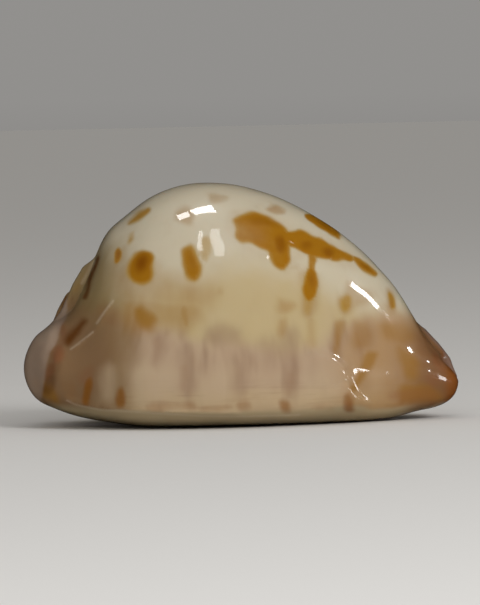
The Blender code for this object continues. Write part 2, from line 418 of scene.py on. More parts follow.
@dataclass(frozen=True)
class ShellForm:
    """The whole form of the shell as one distance field."""

    view: SideView = SideView()
    mouth: Mouth = Mouth()
    body: Egg = Egg(
        middle=0.0,
        half=33.0,
        centre_side=((-33.0, -2.2), (-28.0, -1.2), (-20.0, -0.2), (-8.0, 0.0), (33.0, 0.0)),
        centre_height=(
            (-33.0, 8.7), (-30.0, 8.2), (-26.0, 7.0), (-20.0, 5.8), (-10.0, 5.0),
            (10.0, 4.8), (20.0, 4.6), (27.0, 4.8), (33.0, 5.0),
        ),
        crown_height=(
            (-32.4, 11.6), (-31.2, 13.6), (-30.0, 14.6), (-28.5, 15.8), (-27.0, 16.7),
            (-25.5, 18.4), (-24.0, 21.0), (-22.5, 24.1), (-21.0, 27.5), (-18.0, 31.0),
            (-14.0, 34.0), (-10.0, 35.8), (-5.0, 36.5), (0.0, 36.0), (6.0, 34.1),
            (12.0, 30.9), (18.0, 26.4), (22.0, 22.2), (25.2, 17.7), (26.6, 15.2),
            (28.8, 11.6), (30.6, 9.3), (32.4, 6.6),
        ),
        sole_height=(
            (-32.4, 6.2), (-31.2, 4.5), (-29.4, 3.3), (-27.0, 2.25), (-24.0, 1.35),
            (-20.0, 0.6), (-15.0, -0.1), (-8.0, -0.3), (4.0, -0.3), (14.0, -0.3),
            (20.0, -0.1), (24.0, 0.45), (27.0, 1.2), (30.0, 1.8), (32.4, 3.4),
        ),
        outer_reach=(
            (-31.5, 5.0), (-30.0, 8.2), (-26.0, 12.6), (-20.0, 17.3), (-12.0, 20.6), (-5.0, 21.5),
            (2.0, 20.8), (10.0, 17.9), (17.0, 14.1), (23.0, 10.4), (28.0, 7.4), (31.0, 5.0),
        ),
        inner_reach=(
            (-31.5, 4.4), (-30.0, 7.2), (-26.0, 11.6), (-20.0, 16.3), (-12.0, 19.94), (-5.0, 21.02),
            (2.0, 20.24), (10.0, 17.2), (17.0, 13.3), (23.0, 9.6), (28.0, 6.7), (31.0, 4.5),
        ),
        crown_power=2.05,
        sole_power=3.3,
        callus_rise=0.055,
    )
    chamber: Egg = Egg(
        middle=-0.5,
        half=25.0,
        centre_side=((-26.0, 0.0), (25.0, 0.0)),
        centre_height=((-25.5, 12.5), (-10.0, 13.0), (5.0, 12.5), (15.0, 11.0), (24.5, 9.5)),
        crown_height=(
            (-22.0, 18.5), (-18.0, 26.6), (-12.0, 31.4), (-5.0, 33.6), (2.0, 32.9),
            (8.0, 30.2), (14.0, 25.9), (19.0, 20.6), (22.5, 14.6),
        ),
        sole_height=((-22.0, 8.6), (-15.0, 6.4), (-5.0, 5.0), (5.0, 4.8), (15.0, 5.0), (22.5, 6.8)),
        outer_reach=(
            (-22.0, 8.0), (-12.0, 15.8), (-5.0, 17.3), (3.0, 16.5), (10.0, 13.9), (17.0, 9.8), (22.5, 4.8),
        ),
        inner_reach=(
            (-22.0, 7.2), (-12.0, 15.0), (-5.0, 16.6), (3.0, 15.7), (10.0, 13.1), (17.0, 9.1), (22.5, 4.4),
        ),
        crown_power=2.2,
        sole_power=2.2,
    )
    folds: tuple[Fold, ...] = (
        Fold(((-21.6, 1.2, 23.4, 1.0), (-22.7, 0.9, 23.0, 1.5), (-24.0, 0.4, 20.7, 1.6),
              (-25.2, -0.3, 18.2, 1.5), (-26.3, -1.0, 16.0, 1.1))),
        Fold(((-23.8, 4.6, 20.6, 1.0), (-25.2, 5.0, 18.7, 1.7), (-26.2, 5.4, 16.6, 1.9),
              (-27.7, 5.9, 12.4, 2.2), (-28.4, 6.2, 8.0, 2.6))),
        Fold(((-27.2, -5.4, 11.2, 2.2), (-29.2, -3.8, 9.4, 2.5), (-28.6, -4.8, 6.6, 2.4))),
        Fold(((22.0, -7.4, 8.6, 2.2), (27.0, -5.2, 7.6, 2.4), (30.6, -3.1, 5.5, 1.9))),
        Fold(((25.8, 3.4, 13.2, 1.2), (27.4, 3.3, 12.1, 1.5), (29.1, 3.1, 10.3, 1.5),
              (30.6, 2.9, 8.1, 1.6), (31.2, 2.8, 5.8, 1.6))),
    )
    grooves: tuple[Fold, ...] = (
        Fold(((-21.4, -1.8, 26.7, 0.9), (-23.8, -2.3, 23.2, 1.4), (-25.7, -3.2, 19.2, 1.3))),
    )
    reliefs: tuple[Relief, ...] = (
        Relief(((60, 398), (75, 403), (100, 408), (150, 411), (200, 413), (245, 414)), 0.34, 0.45, 0.45),
        Relief(((306, 352), (320, 356), (333, 361), (343, 370), (347, 384), (353, 396), (368, 404)),
               0.55, 0.85, 6.0, 2.4),
        Relief(((345, 380), (348, 388), (352, 395), (358, 400), (374, 407)), 0.5, 0.6, 3.0, 1.6),
        Relief(((60, 325), (56, 343), (50, 356), (48, 388)), -0.34, 0.9, 0.9),
        Relief(((114, 299), (98, 326), (89, 335), (69, 352)), 0.14, 0.42, 0.42),
    )
    fold_blend: float = 1.8
    groove_blend: float = 1.0
    lip_blend: Stations = ((-33.0, 1.4), (-28.0, 1.8), (-22.0, 3.0), (20.0, 3.0), (26.0, 1.8), (33.0, 1.0))
    wall_blend: float = 0.5
    hollow_blend: float = 2.2
    rest_blend: float = 0.5
    waves: tuple[tuple[float, float, float, float], ...] = (
        (0.62, 0.21, 0.33, 0.9), (-0.25, 0.58, 0.47, 2.3), (0.18, -0.46, 0.71, 4.1),
        (0.93, 0.36, -0.52, 5.2), (-0.71, 0.88, 0.64, 1.4),
    )
    wave_height: float = 0.012
    wave_bias: float = 0.4
    lip_span: Span = (13.0, 7.0)

    def outside(self, places: Array) -> Array:
        """The distance to the outer skin alone, with its folds, grooves and relief.

        Args:
            places: The places, in millimetres.

        Returns:
            The distances, negative inside the skin.
        """
        value = self.body.level(places)
        for fold in self.folds:
            value = smooth_least(value, fold.distance(places), self.fold_blend)
        for groove in self.grooves:
            value = smooth_most(value, -groove.distance(places), self.groove_blend)
        seen = self.view.place(places)
        for relief in self.reliefs:
            value = value - relief.lift(seen, places, self.view)
        for across, along, up, phase in self.waves:
            wave = np.sin(places @ np.array([across, along, up]) + phase)
            value = value + self.wave_height * (self.wave_bias + wave)
        return value

    def hollow(self, places: Array) -> Array:
        """The distance to the chamber and the mouth together, negative inside them."""
        return smooth_least(self.chamber.level(places), self.mouth.level(places), self.hollow_blend)

    def level(self, places: Array) -> Array:
        """The distance to the shell's whole surface, negative in the wall.

        Args:
            places: The places, in millimetres.

        Returns:
            The distances, in millimetres.
        """
        at_lips = ease(places[:, 2], *self.lip_span)
        blend = self.wall_blend + at_lips * (Profile(self.lip_blend)(places[:, 0]) - self.wall_blend)
        wall = smooth_most(self.outside(places), -self.hollow(places), blend)
        return smooth_most(wall, -places[:, 2], self.rest_blend)

    def slope(self, places: Array, step: float = 0.02) -> Array:
        """The gradient of the level at each place.

        Args:
            places: The places, in millimetres.
            step: Half the stretch that it is measured over.

        Returns:
            One gradient in each row.
        """
        gradient = np.empty_like(places)
        for axis in range(3):
            move = np.zeros(3)
            move[axis] = step
            gradient[:, axis] = (self.level(places + move) - self.level(places - move)) / (2 * step)
        return gradient


@dataclass(frozen=True)
class SkinMaker:
    """Turns a distance field into an even, closed mesh of quads."""

    form: ShellForm
    low: tuple[float, float, float] = (-34.0, -24.0, -1.0)
    high: tuple[float, float, float] = (34.0, 23.5, 37.6)
    cell: float = 0.42
    relax_rounds: int = 5
    relax_share: float = 0.6
    least_slope: float = 0.05
    longest_move: float = 0.4

    def grid(self) -> tuple[Array, Array]:
        """The lattice's places, and the level at each of them.

        Returns:
            The places as a block of rows, and the levels as a block.
        """
        axes = [np.arange(a, b + self.cell, self.cell) for a, b in zip(self.low, self.high)]
        places = np.stack(np.meshgrid(*axes, indexing="ij"), axis=-1)
        level = np.concatenate([self.form.level(slab.reshape(-1, 3)) for slab in places])
        return places, level.reshape(places.shape[:3])

    def net(self) -> tuple[Array, Array]:
        """One point in each cell that the surface crosses, joined into quads.

        Returns:
            The points, and the four point numbers of each quad.
        """
        places, level = self.grid()
        cells = tuple(n - 1 for n in level.shape)
        total, count = np.zeros((*cells, 3)), np.zeros(cells)
        for axis in range(3):
            others = [a for a in range(3) if a != axis]
            for first in (0, 1):
                for second in (0, 1):
                    near = [slice(0, n) for n in cells]
                    near[others[0]] = slice(first, cells[others[0]] + first)
                    near[others[1]] = slice(second, cells[others[1]] + second)
                    far = list(near)
                    far[axis] = slice(1, cells[axis] + 1)
                    a, b = level[tuple(near)], level[tuple(far)]
                    crossed = (a < 0) != (b < 0)
                    share = np.where(crossed, a / np.where(crossed, a - b, 1.0), 0.0)
                    spot = places[tuple(near)] + share[..., None] * (places[tuple(far)] - places[tuple(near)])
                    total += spot * crossed[..., None]
                    count += crossed
        number = np.full(cells, -1)
        used = count > 0
        number[used] = np.arange(used.sum())
        quads = []
        for axis in range(3):
            u, v = (axis + 1) % 3, (axis + 2) % 3
            inner = [slice(1, n) for n in cells]
            inner[axis] = slice(0, cells[axis])
            after = list(inner)
            after[axis] = slice(1, cells[axis] + 1)
            solid, next_solid = level[tuple(inner)] < 0, level[tuple(after)] < 0
            where = np.argwhere(solid != next_solid) + [0 if a == axis else 1 for a in range(3)]
            outward = level[tuple(where.T)] < 0
            step_u, step_v = np.eye(3, dtype=int)[u], np.eye(3, dtype=int)[v]
            ring = [where - step_u - step_v, where - step_v, where, where - step_u]
            corners = np.stack([number[tuple(r.T)] for r in ring], axis=1)
            corners[~outward] = corners[~outward][:, ::-1]
            quads.append(corners)
        return total[used] / count[used][:, None], np.concatenate(quads)

    def settle(self, points: Array, rounds: int = 1) -> tuple[Array, Array]:
        """Moves the points onto the surface along its gradient.

        Args:
            points: The points, in millimetres.
            rounds: How often they are moved.

        Returns:
            The moved points, and the surface's normal at each.
        """
        for _ in range(rounds):
            slope = self.form.slope(points)
            size = np.maximum((slope**2).sum(axis=1), self.least_slope)
            move = np.clip(self.form.level(points) / size, -self.longest_move, self.longest_move)
            points = points - move[:, None] * slope
        return points, slope / np.sqrt(size)[:, None]

    def make(self) -> tuple[Array, Array]:
        """The finished points and quads, evened out along the surface.

        Returns:
            The points, and the four point numbers of each quad.
        """
        points, quads = self.net()
        pairs = np.concatenate([quads[:, (i, (i + 1) % 4)] for i in range(4)])
        pairs = np.unique(np.sort(pairs, axis=1), axis=0)
        ends, starts = np.concatenate([pairs[:, 0], pairs[:, 1]]), np.concatenate([pairs[:, 1], pairs[:, 0]])
        degree = np.bincount(ends, minlength=len(points))[:, None]
        points, normal = self.settle(points, 2)
        for _ in range(self.relax_rounds):
            total = [np.bincount(ends, points[starts, a], len(points)) for a in range(3)]
            move = (np.stack(total, axis=1) / degree - points) * self.relax_share
            points, normal = self.settle(points + move - (move * normal).sum(axis=1)[:, None] * normal)
        return self.settle(points)[0], quads


@dataclass(frozen=True)
class Spot:
    """A soft-edged round stain, as it is seen in the side view, in pixels."""

    column: float
    row: float
    wide: float
    tall: float
    tilt: float = 0.0
    strength: float = 1.0
    soft: float = 3.0

    def reach(self) -> tuple[float, float, float, float]:
        """The lowest and highest column, and the lowest and highest row, that it may touch."""
        out = max(self.wide, self.tall) / 2 + self.soft
        return self.column - out, self.column + out, self.row - out, self.row + out

    def depth(self, seen: Array) -> Array:
        """How far inside the stain each seen spot is, in pixels.

        Args:
            seen: The (column, row) of each place.

        Returns:
            The depths, negative outside the stain.
        """
        turn = math.radians(self.tilt)
        right, down = seen[:, 0] - self.column, seen[:, 1] - self.row
        along = (right * math.cos(turn) + down * math.sin(turn)) / (self.wide / 2)
        across = (down * math.cos(turn) - right * math.sin(turn)) / (self.tall / 2)
        return (1.0 - np.hypot(along, across)) * min(self.wide, self.tall) / 2


@dataclass(frozen=True)
class Stain:
    """A soft-edged stain with a smooth closed outline in the side view, in pixels."""

    outline: Path
    strength: float = 1.0
    soft: float = 3.0
    steps: int = 5
    overshoot: float = 3.0

    def reach(self) -> tuple[float, float, float, float]:
        """The lowest and highest column, and the lowest and highest row, that it may touch.

        Returns:
            Those four, in pixels.
        """
        columns, rows = zip(*self.outline)
        out = self.soft + self.overshoot
        return min(columns) - out, max(columns) + out, min(rows) - out, max(rows) + out

    def curve(self) -> Array:
        """The outline, rounded off through its points.

        Returns:
            The (column, row) of each point along it.
        """
        here = np.array(self.outline, float)
        before, after, later = np.roll(here, 1, 0), np.roll(here, -1, 0), np.roll(here, -2, 0)
        share = np.arange(self.steps)[None, :, None] / self.steps
        start, end = (after - before)[:, None] / 2, (later - here)[:, None] / 2
        rise = (after - here)[:, None]
        curve = here[:, None] + share * start + share**2 * (3 * rise - 2 * start - end)
        curve = curve + share**3 * (start + end - 2 * rise)
        return curve.reshape(-1, 2)

    def depth(self, seen: Array) -> Array:
        """How far inside the outline each seen spot is, in pixels.

        Args:
            seen: The (column, row) of each place.

        Returns:
            The depths, negative outside the outline.
        """
        curve = self.curve()
        inside = np.zeros(len(seen), bool)
        for (x0, y0), (x1, y1) in zip(curve, np.roll(curve, -1, 0)):
            if y0 != y1:
                between = (y0 > seen[:, 1]) != (y1 > seen[:, 1])
                inside ^= between & (seen[:, 0] < (x1 - x0) * (seen[:, 1] - y0) / (y1 - y0) + x0)
        away = np.abs(path_distance(seen, tuple(map(tuple, curve)) + (tuple(curve[0]),)))
        return np.where(inside, away, -away)


@dataclass(frozen=True)
class Line:
    """A thin soft line along a path in the side view, in pixels."""

    path: Path
    wide: float
    strength: float = 1.0
    soft: float = 1.5

    def reach(self) -> tuple[float, float, float, float]:
        """The lowest and highest column, and the lowest and highest row, that it may touch.

        Returns:
            Those four, in pixels.
        """
        columns, rows = zip(*self.path)
        out = self.wide + self.soft
        return min(columns) - out, max(columns) + out, min(rows) - out, max(rows) + out

    def depth(self, seen: Array) -> Array:
        """How far inside the line each seen spot is, in pixels."""
        return self.wide / 2 - np.abs(path_distance(seen, self.path))


@dataclass(frozen=True)
class MarkSet:
    """The marks of one kind on the two flanks; the photograph doesn't show the inner lip's flank."""

    name: str
    outer: tuple[Spot | Stain | Line, ...]
    inner: tuple[Spot | Stain | Line, ...] = ()
    outer_span: Span = (2.2, -0.6)
    inner_span: Span = (-0.5, 4.0)

    def cover(self, seen: Array, y: Array) -> Array:
        """The strongest cover of any mark at each place.

        Args:
            seen: The (column, row) of each place.
            y: The Y of each place, in millimetres.

        Returns:
            The cover, from 0 to 1.
        """
        total = np.zeros(len(y))
        for marks, span in ((self.outer, self.outer_span), (self.inner, self.inner_span)):
            here = ease(y, *span)
            for mark in marks:
                left, right, top, bottom = mark.reach()
                near = (seen[:, 0] > left) & (seen[:, 0] < right) & (seen[:, 1] > top) & (seen[:, 1] < bottom)
                near &= here > 0
                cover = mark.strength * ease(mark.depth(seen[near]), -mark.soft, mark.soft)
                total[near] = np.maximum(total[near], cover * here[near])
        return total


BLOTCHES = MarkSet(
    "blotch",
    outer=(
        Stain(((133, 257), (141, 252), (148, 253), (152, 259), (151, 270), (150, 280), (142, 284),
               (133, 281), (129, 273), (129, 263)), 1.0, 5.5),
        Stain(((184, 250), (191, 246), (196, 250), (199, 258), (201, 268), (199, 276), (193, 281),
               (187, 278), (183, 269), (182, 258)), 0.86, 5.5),
        Stain(((201, 238), (208, 236), (212, 243), (211, 254), (206, 262), (201, 256), (200, 247)), 0.4, 4.0),
        Stain(((233, 219), (240, 215), (250, 213.5), (260, 215), (270, 220), (279, 224), (287, 230),
               (290, 239), (291, 250), (290, 262), (285, 269), (277, 268), (271, 261), (268, 253),
               (260, 248), (250, 243), (240, 243), (235, 238), (236, 228)), 0.95, 4.0),
        Stain(((284, 233), (293, 230), (302, 231), (312, 236), (322, 240), (330, 246), (337, 250),
               (335, 256), (328, 258), (318, 257), (309, 256), (302, 252), (296, 248), (289, 244)),
              0.95, 3.0),
        Stain(((333, 249), (345, 252), (353, 256), (351, 262), (341, 261), (331, 259)), 0.9, 3.0),
        Stain(((352, 255), (359, 258), (366, 263), (372, 269), (376, 275), (373, 278), (366, 273),
               (359, 268), (354, 261)), 0.86, 2.6),
        Stain(((308, 254), (318, 256), (317, 266), (316, 275), (310, 275), (309, 266)), 0.66, 3.0),
        Stain(((311, 270), (317, 272), (319, 280), (317, 289), (314, 296), (308, 300), (303, 296),
               (302, 288), (306, 279)), 0.93, 3.4),
        Stain(((303, 296), (313, 297), (313, 308), (308, 317), (302, 310)), 0.3, 5.0),
        Stain(((306, 215), (313, 215), (321, 219), (329, 225), (336, 232), (338, 238), (331, 236),
               (323, 230), (314, 225), (308, 220)), 1.0, 2.6),
        Stain(((341, 298), (347, 294), (352, 299), (351, 308), (346, 313), (341, 309)), 0.5, 4.0),
        Stain(((387, 294), (391, 293), (395, 299), (395, 307), (391, 310), (388, 304)), 0.66, 3.0),
        Stain(((114, 262), (115, 254), (119, 249), (122, 252), (121, 258), (117, 264)), 0.7, 2.4),
        Stain(((129, 225), (133, 218), (140, 211), (147, 207), (149, 211), (143, 218), (136, 223)), 0.6, 3.0),
        Spot(131, 239, 5, 12, 20, 0.4, 2.4),
    ),
    inner=(
        Stain(((132, 262), (142, 254), (153, 255), (159, 263), (157, 274), (148, 282), (137, 277)),
              0.95, 4.0),
        Stain(((192, 246), (203, 238), (216, 233), (224, 237), (219, 246), (207, 252), (196, 254)), 0.9, 3.0),
        Stain(((229, 250), (238, 247), (244, 256), (243, 270), (237, 280), (230, 273), (227, 261)),
              0.85, 4.0),
        Stain(((262, 225), (275, 222), (290, 227), (303, 234), (312, 242), (306, 247), (293, 242),
               (279, 239), (266, 234)), 0.95, 3.0),
        Stain(((293, 246), (303, 245), (308, 256), (306, 270), (300, 279), (293, 270), (291, 257)),
              0.85, 4.0),
        Stain(((332, 260), (342, 260), (353, 267), (359, 275), (352, 279), (342, 273), (334, 267)), 0.8, 3.0),
        Stain(((368, 291), (374, 290), (379, 299), (377, 309), (371, 308), (367, 299)), 0.55, 4.0),
        Spot(122, 240, 8, 18, 24, 0.5, 3.0),
        Spot(180, 214, 24, 8, -24, 0.55, 3.0),
        Spot(263, 203, 26, 8, 6, 0.5, 3.0),
    ),
)

CORES = MarkSet(
    "core",
    outer=(
        Spot(141, 264, 13, 18, 10, 0.75, 7.0),
        Spot(192, 262, 8, 22, -4, 0.4, 4.0),
        Spot(262, 222, 34, 10, 12, 0.45, 4.0),
        Spot(281, 245, 12, 18, -12, 0.7, 4.0),
        Spot(256, 236, 20, 8, 8, 0.35, 4.0),
        Spot(307, 246, 14, 10, 0, 0.5, 4.0),
        Spot(328, 252, 14, 8, 26, 0.6, 3.0),
        Spot(313, 281, 8, 16, 8, 0.45, 4.0),
        Spot(365, 267, 16, 5, 42, 0.5, 2.4),
        Spot(324, 226, 24, 4, 34, 0.5, 2.4),
        Spot(119, 255, 4, 9, 22, 0.5, 2.0),
        Spot(391, 299, 5, 9, 0, 0.3, 3.0),
    ),
    inner=(
        Spot(147, 266, 15, 16, 0, 0.9, 4.0),
        Spot(236, 262, 8, 20, 0, 0.5, 4.0),
        Spot(286, 232, 24, 8, 20, 0.6, 4.0),
        Spot(300, 262, 8, 18, 0, 0.5, 4.0),
    ),
)

OCHRES = MarkSet(
    "ochre",
    outer=(
        Stain(((175, 212), (182, 206), (190, 207), (195, 214), (194, 223), (186, 226), (177, 221)),
              0.42, 5.0),
        Stain(((208, 198), (214, 193), (226, 193), (229, 198), (221, 202), (212, 203)), 0.42, 4.0),
        Stain(((266, 207), (275, 205), (285, 209), (284, 214), (273, 215), (266, 212)), 0.5, 3.5),
        Spot(219, 291, 10, 12, 0, 0.34, 5.0),
        Stain(((120, 300), (148, 296), (176, 300), (200, 304), (204, 318), (188, 330), (164, 330),
               (142, 336), (122, 326)), 0.45, 13.0),
        Stain(((132, 310), (142, 304), (154, 311), (160, 320), (152, 331), (138, 328)), 0.8, 11.0),
        Stain(((178, 310), (186, 305), (192, 313), (188, 326), (180, 322)), 0.55, 6.0),
        Stain(((34, 376), (46, 382), (58, 394), (58, 403), (44, 400), (34, 390)), 0.62, 6.0),
        Stain(((112, 270), (150, 268), (190, 276), (222, 290), (206, 312), (160, 314), (118, 306)),
              0.36, 16.0),
        Line(((92, 262), (85, 274), (76, 290)), 6.0, 0.3, 4.0),
        Stain(((347, 280), (355, 284), (366, 288), (374, 297), (367, 306), (357, 310), (348, 317),
               (340, 312), (338, 301), (342, 290)), 0.42, 6.0),
        Stain(((384, 289), (391, 288), (397, 298), (397, 312), (388, 316), (383, 304)), 0.4, 5.0),
        Stain(((272, 258), (290, 262), (300, 262), (299, 270), (283, 272), (272, 268)), 0.3, 5.0),
        Stain(((276, 298), (290, 299), (296, 306), (290, 314), (278, 311)), 0.4, 6.0),
        Stain(((279, 318), (287, 317), (289, 330), (284, 338), (278, 331)), 0.34, 5.0),
        Stain(((307, 316), (315, 318), (318, 334), (314, 350), (307, 345), (306, 330)), 0.34, 6.0),
        Stain(((337, 322), (345, 324), (343, 338), (339, 352), (333, 357), (333, 343)), 0.5, 5.0),
        Stain(((353, 321), (366, 320), (372, 333), (370, 347), (357, 349), (351, 336)), 0.42, 7.0),
        Stain(((381, 322), (397, 321), (411, 328), (413, 340), (400, 346), (385, 342), (379, 332)), 0.4, 8.0),
        Stain(((367, 352), (378, 353), (374, 364), (368, 373), (361, 383), (353, 392), (350, 386),
               (357, 376), (362, 364)), 0.62, 4.0),
        Stain(((396, 346), (412, 350), (420, 364), (416, 380), (404, 377), (397, 362)), 0.5, 7.0),
        Stain(((400, 386), (420, 384), (440, 390), (444, 400), (426, 403), (402, 405)), 0.5, 6.0),
        Stain(((113, 262), (124, 246), (128, 252), (122, 266), (114, 272)), 0.3, 5.0),
        Stain(((300, 270), (323, 274), (320, 296), (314, 318), (301, 316), (298, 292)), 0.3, 6.0),
        Stain(((226, 212), (262, 209), (296, 226), (345, 246), (372, 268), (350, 270), (322, 262),
               (300, 262), (290, 275), (268, 266), (240, 248), (228, 236)), 0.26, 6.0),
    ),
    inner=(
        Stain(((150, 312), (186, 308), (212, 316), (196, 328), (160, 330)), 0.5, 8.0),
        Stain(((240, 296), (262, 292), (270, 306), (254, 316), (240, 310)), 0.4, 8.0),
        Stain(((312, 300), (340, 296), (352, 312), (338, 326), (314, 322)), 0.5, 8.0),
        Stain(((376, 318), (398, 316), (404, 334), (388, 344), (374, 334)), 0.5, 8.0),
    ),
)

MAUVES = MarkSet(
    "mauve",
    outer=(
        Stain(((116, 336), (134, 332), (146, 342), (144, 362), (130, 370), (116, 356)), 0.52, 14.5),
        Stain(((152, 334), (162, 332), (164, 350), (160, 372), (152, 366)), 0.76, 10.0),
        Stain(((178, 350), (190, 346), (196, 362), (192, 392), (182, 396), (178, 374)), 0.59, 11.5),
        Stain(((206, 330), (220, 322), (240, 328), (238, 342), (218, 348), (206, 342)), 0.71, 11.5),
        Stain(((202, 352), (210, 350), (212, 372), (206, 384), (200, 370)), 0.38, 10.0),
        Stain(((238, 356), (246, 352), (250, 372), (246, 396), (238, 392)), 0.47, 10.0),
        Stain(((256, 340), (272, 336), (280, 350), (276, 372), (260, 366)), 0.57, 13.0),
        Stain(((284, 332), (298, 328), (302, 348), (298, 392), (286, 396), (284, 364)), 0.63, 11.5),
        Stain(((308, 356), (316, 352), (320, 372), (314, 388), (306, 376)), 0.38, 10.0),
        Stain(((330, 330), (340, 326), (342, 344), (336, 358), (328, 350)), 0.47, 10.0),
        Stain(((352, 326), (368, 320), (376, 334), (372, 350), (356, 352)), 0.57, 13.0),
        Stain(((386, 352), (398, 350), (404, 372), (398, 396), (388, 392)), 0.38, 13.0),
        Stain(((70, 306), (84, 300), (88, 314), (78, 324), (68, 322)), 0.66, 10.0),
        Stain(((304, 296), (314, 294), (316, 308), (310, 320), (303, 312)), 0.47, 10.0),
    ),
    inner=(
        Stain(((128, 338), (144, 334), (150, 356), (138, 370), (126, 358)), 0.57, 13.0),
        Stain(((186, 346), (200, 342), (206, 364), (198, 386), (186, 376)), 0.57, 13.0),
        Stain(((248, 344), (264, 340), (270, 362), (260, 384), (248, 374)), 0.57, 13.0),
        Stain(((304, 340), (320, 336), (326, 358), (316, 380), (304, 370)), 0.57, 13.0),
        Stain(((360, 334), (378, 332), (384, 352), (372, 372), (358, 360)), 0.57, 13.0),
    ),
)

# Pale patches of the margin; the last one is a painted highlight along the base's edge.
PALES_AND_EDGE_HIGHLIGHT = MarkSet(
    "pale",
    outer=(
        Stain(((34, 338), (44, 329), (56, 325), (58, 338), (50, 348), (38, 348)), 0.68, 9.5),
        Stain(((99, 370), (112, 364), (117, 380), (112, 404), (99, 404), (96, 388)), 0.72, 11.1),
        Stain(((134, 366), (150, 360), (176, 370), (177, 392), (160, 402), (136, 404), (131, 386)),
              0.77, 14.3),
        Stain(((198, 376), (234, 366), (236, 392), (216, 402), (198, 398)), 0.64, 14.3),
        Stain(((258, 378), (278, 374), (279, 396), (262, 402), (255, 394)), 0.51, 14.3),
        Stain(((300, 374), (330, 366), (343, 376), (341, 396), (314, 402), (298, 396)), 0.59, 15.9),
        Stain(((366, 372), (382, 366), (386, 386), (378, 400), (366, 394)), 0.38, 14.3),
        Stain(((322, 306), (334, 304), (334, 330), (326, 344), (320, 330)), 0.42, 14.3),
        # painted highlight: a light band along the base's edge
        Stain(((94, 404), (150, 409), (230, 412), (300, 411), (340, 410), (340, 414), (230, 417), (120, 413)),
              0.42, 6.3),
    ),
    inner=(
        Stain(((104, 374), (124, 368), (126, 396), (108, 402)), 0.59, 14.3),
        Stain(((150, 374), (172, 368), (172, 396), (152, 402)), 0.59, 14.3),
        Stain(((204, 376), (222, 370), (222, 398), (204, 402)), 0.59, 14.3),
        Stain(((246, 376), (264, 370), (264, 398), (246, 402)), 0.59, 14.3),
        Stain(((292, 376), (318, 370), (318, 396), (292, 402)), 0.59, 14.3),
    ),
)

MARGIN_SPOTS = MarkSet(
    "margin_spot",
    outer=(
        Stain(((86, 380), (91, 378), (92, 386), (90, 396), (88, 405), (83, 403), (82, 393)), 1.0, 3.6),
        Stain(((118, 388), (124, 386), (127, 395), (126, 405), (118, 407), (114, 399)), 0.8, 4.6),
        Stain(((124, 384), (129, 372), (134, 370), (131, 381), (127, 389)), 0.3, 4.0),
        Stain(((146, 404), (160, 400), (176, 400), (196, 402), (198, 409), (176, 411), (150, 411)),
              0.42, 4.0),
        Stain(((202, 405), (214, 403), (232, 405), (231, 411), (204, 411)), 0.4, 4.0),
        Stain(((238, 404), (250, 403), (251, 412), (240, 414)), 0.5, 4.6),
        Stain(((240, 390), (255, 388), (256, 400), (242, 403)), 0.2, 6.0),
        Stain(((279, 401), (287, 399), (292, 404), (290, 411), (281, 411)), 0.66, 4.6),
        Stain(((286, 372), (295, 370), (296, 386), (292, 398), (285, 394)), 0.26, 5.0),
        Stain(((310, 405), (332, 404), (333, 411), (312, 411)), 0.3, 4.0),
        Stain(((345, 393), (351, 392), (355, 400), (354, 411), (345, 412), (343, 402)), 0.68, 4.6),
        Stain(((151, 338), (162, 338), (162, 352), (158, 368), (151, 366)), 0.3, 5.0),
        Stain(((178, 366), (188, 366), (190, 380), (184, 393), (178, 384)), 0.3, 5.0),
        Stain(((60, 384), (74, 382), (78, 398), (66, 400)), 0.32, 6.0),
        Stain(((386, 404), (404, 402), (404, 409), (386, 410)), 0.4, 4.0),
    ),
    inner=(
        Stain(((92, 382), (99, 380), (102, 392), (97, 402), (91, 396)), 0.7, 4.0),
        Stain(((132, 392), (141, 390), (145, 399), (140, 407), (132, 404)), 0.75, 4.0),
        Stain(((176, 398), (192, 396), (198, 403), (190, 409), (176, 407)), 0.6, 4.0),
        Stain(((226, 400), (236, 398), (240, 407), (230, 411)), 0.7, 4.0),
        Stain(((271, 397), (282, 395), (286, 404), (277, 410), (270, 405)), 0.7, 4.0),
        Stain(((328, 396), (338, 394), (341, 404), (333, 410), (327, 404)), 0.7, 4.0),
    ),
)

DARK_PATCHES = MarkSet(
    "dark_patch",
    outer=(
        Stain(((64, 340), (70, 331), (77, 324), (84, 318), (88, 322), (82, 332), (75, 341), (68, 347)),
              0.86, 6.5),
        Spot(70, 338, 8, 15, 38, 0.9, 5.0),
        Stain(((50, 361), (62, 360), (63, 369), (57, 377), (48, 376), (46, 368)), 0.34, 4.6),
        Stain(((45, 374), (56, 375), (55, 389), (47, 395), (40, 389)), 0.5, 5.0),
        Line(((98, 258), (94, 272), (89, 285), (84, 298)), 5.0, 0.8, 3.0),
        Line(((416, 322), (423, 336), (430, 350), (441, 363)), 5.0, 0.4, 4.0),
        Line(((72, 292), (73, 304)), 1.6, 0.5, 2.4),
    ),
    inner=(
        Stain(((62, 298), (68, 293), (72, 298), (71, 310), (66, 318), (61, 311)), 0.6, 3.0),
        Stain(((72, 342), (80, 330), (92, 326), (90, 338), (78, 350)), 0.7, 5.0),
        Stain(((60, 352), (68, 350), (66, 372), (56, 384), (54, 368)), 0.55, 5.0),
    ),
)

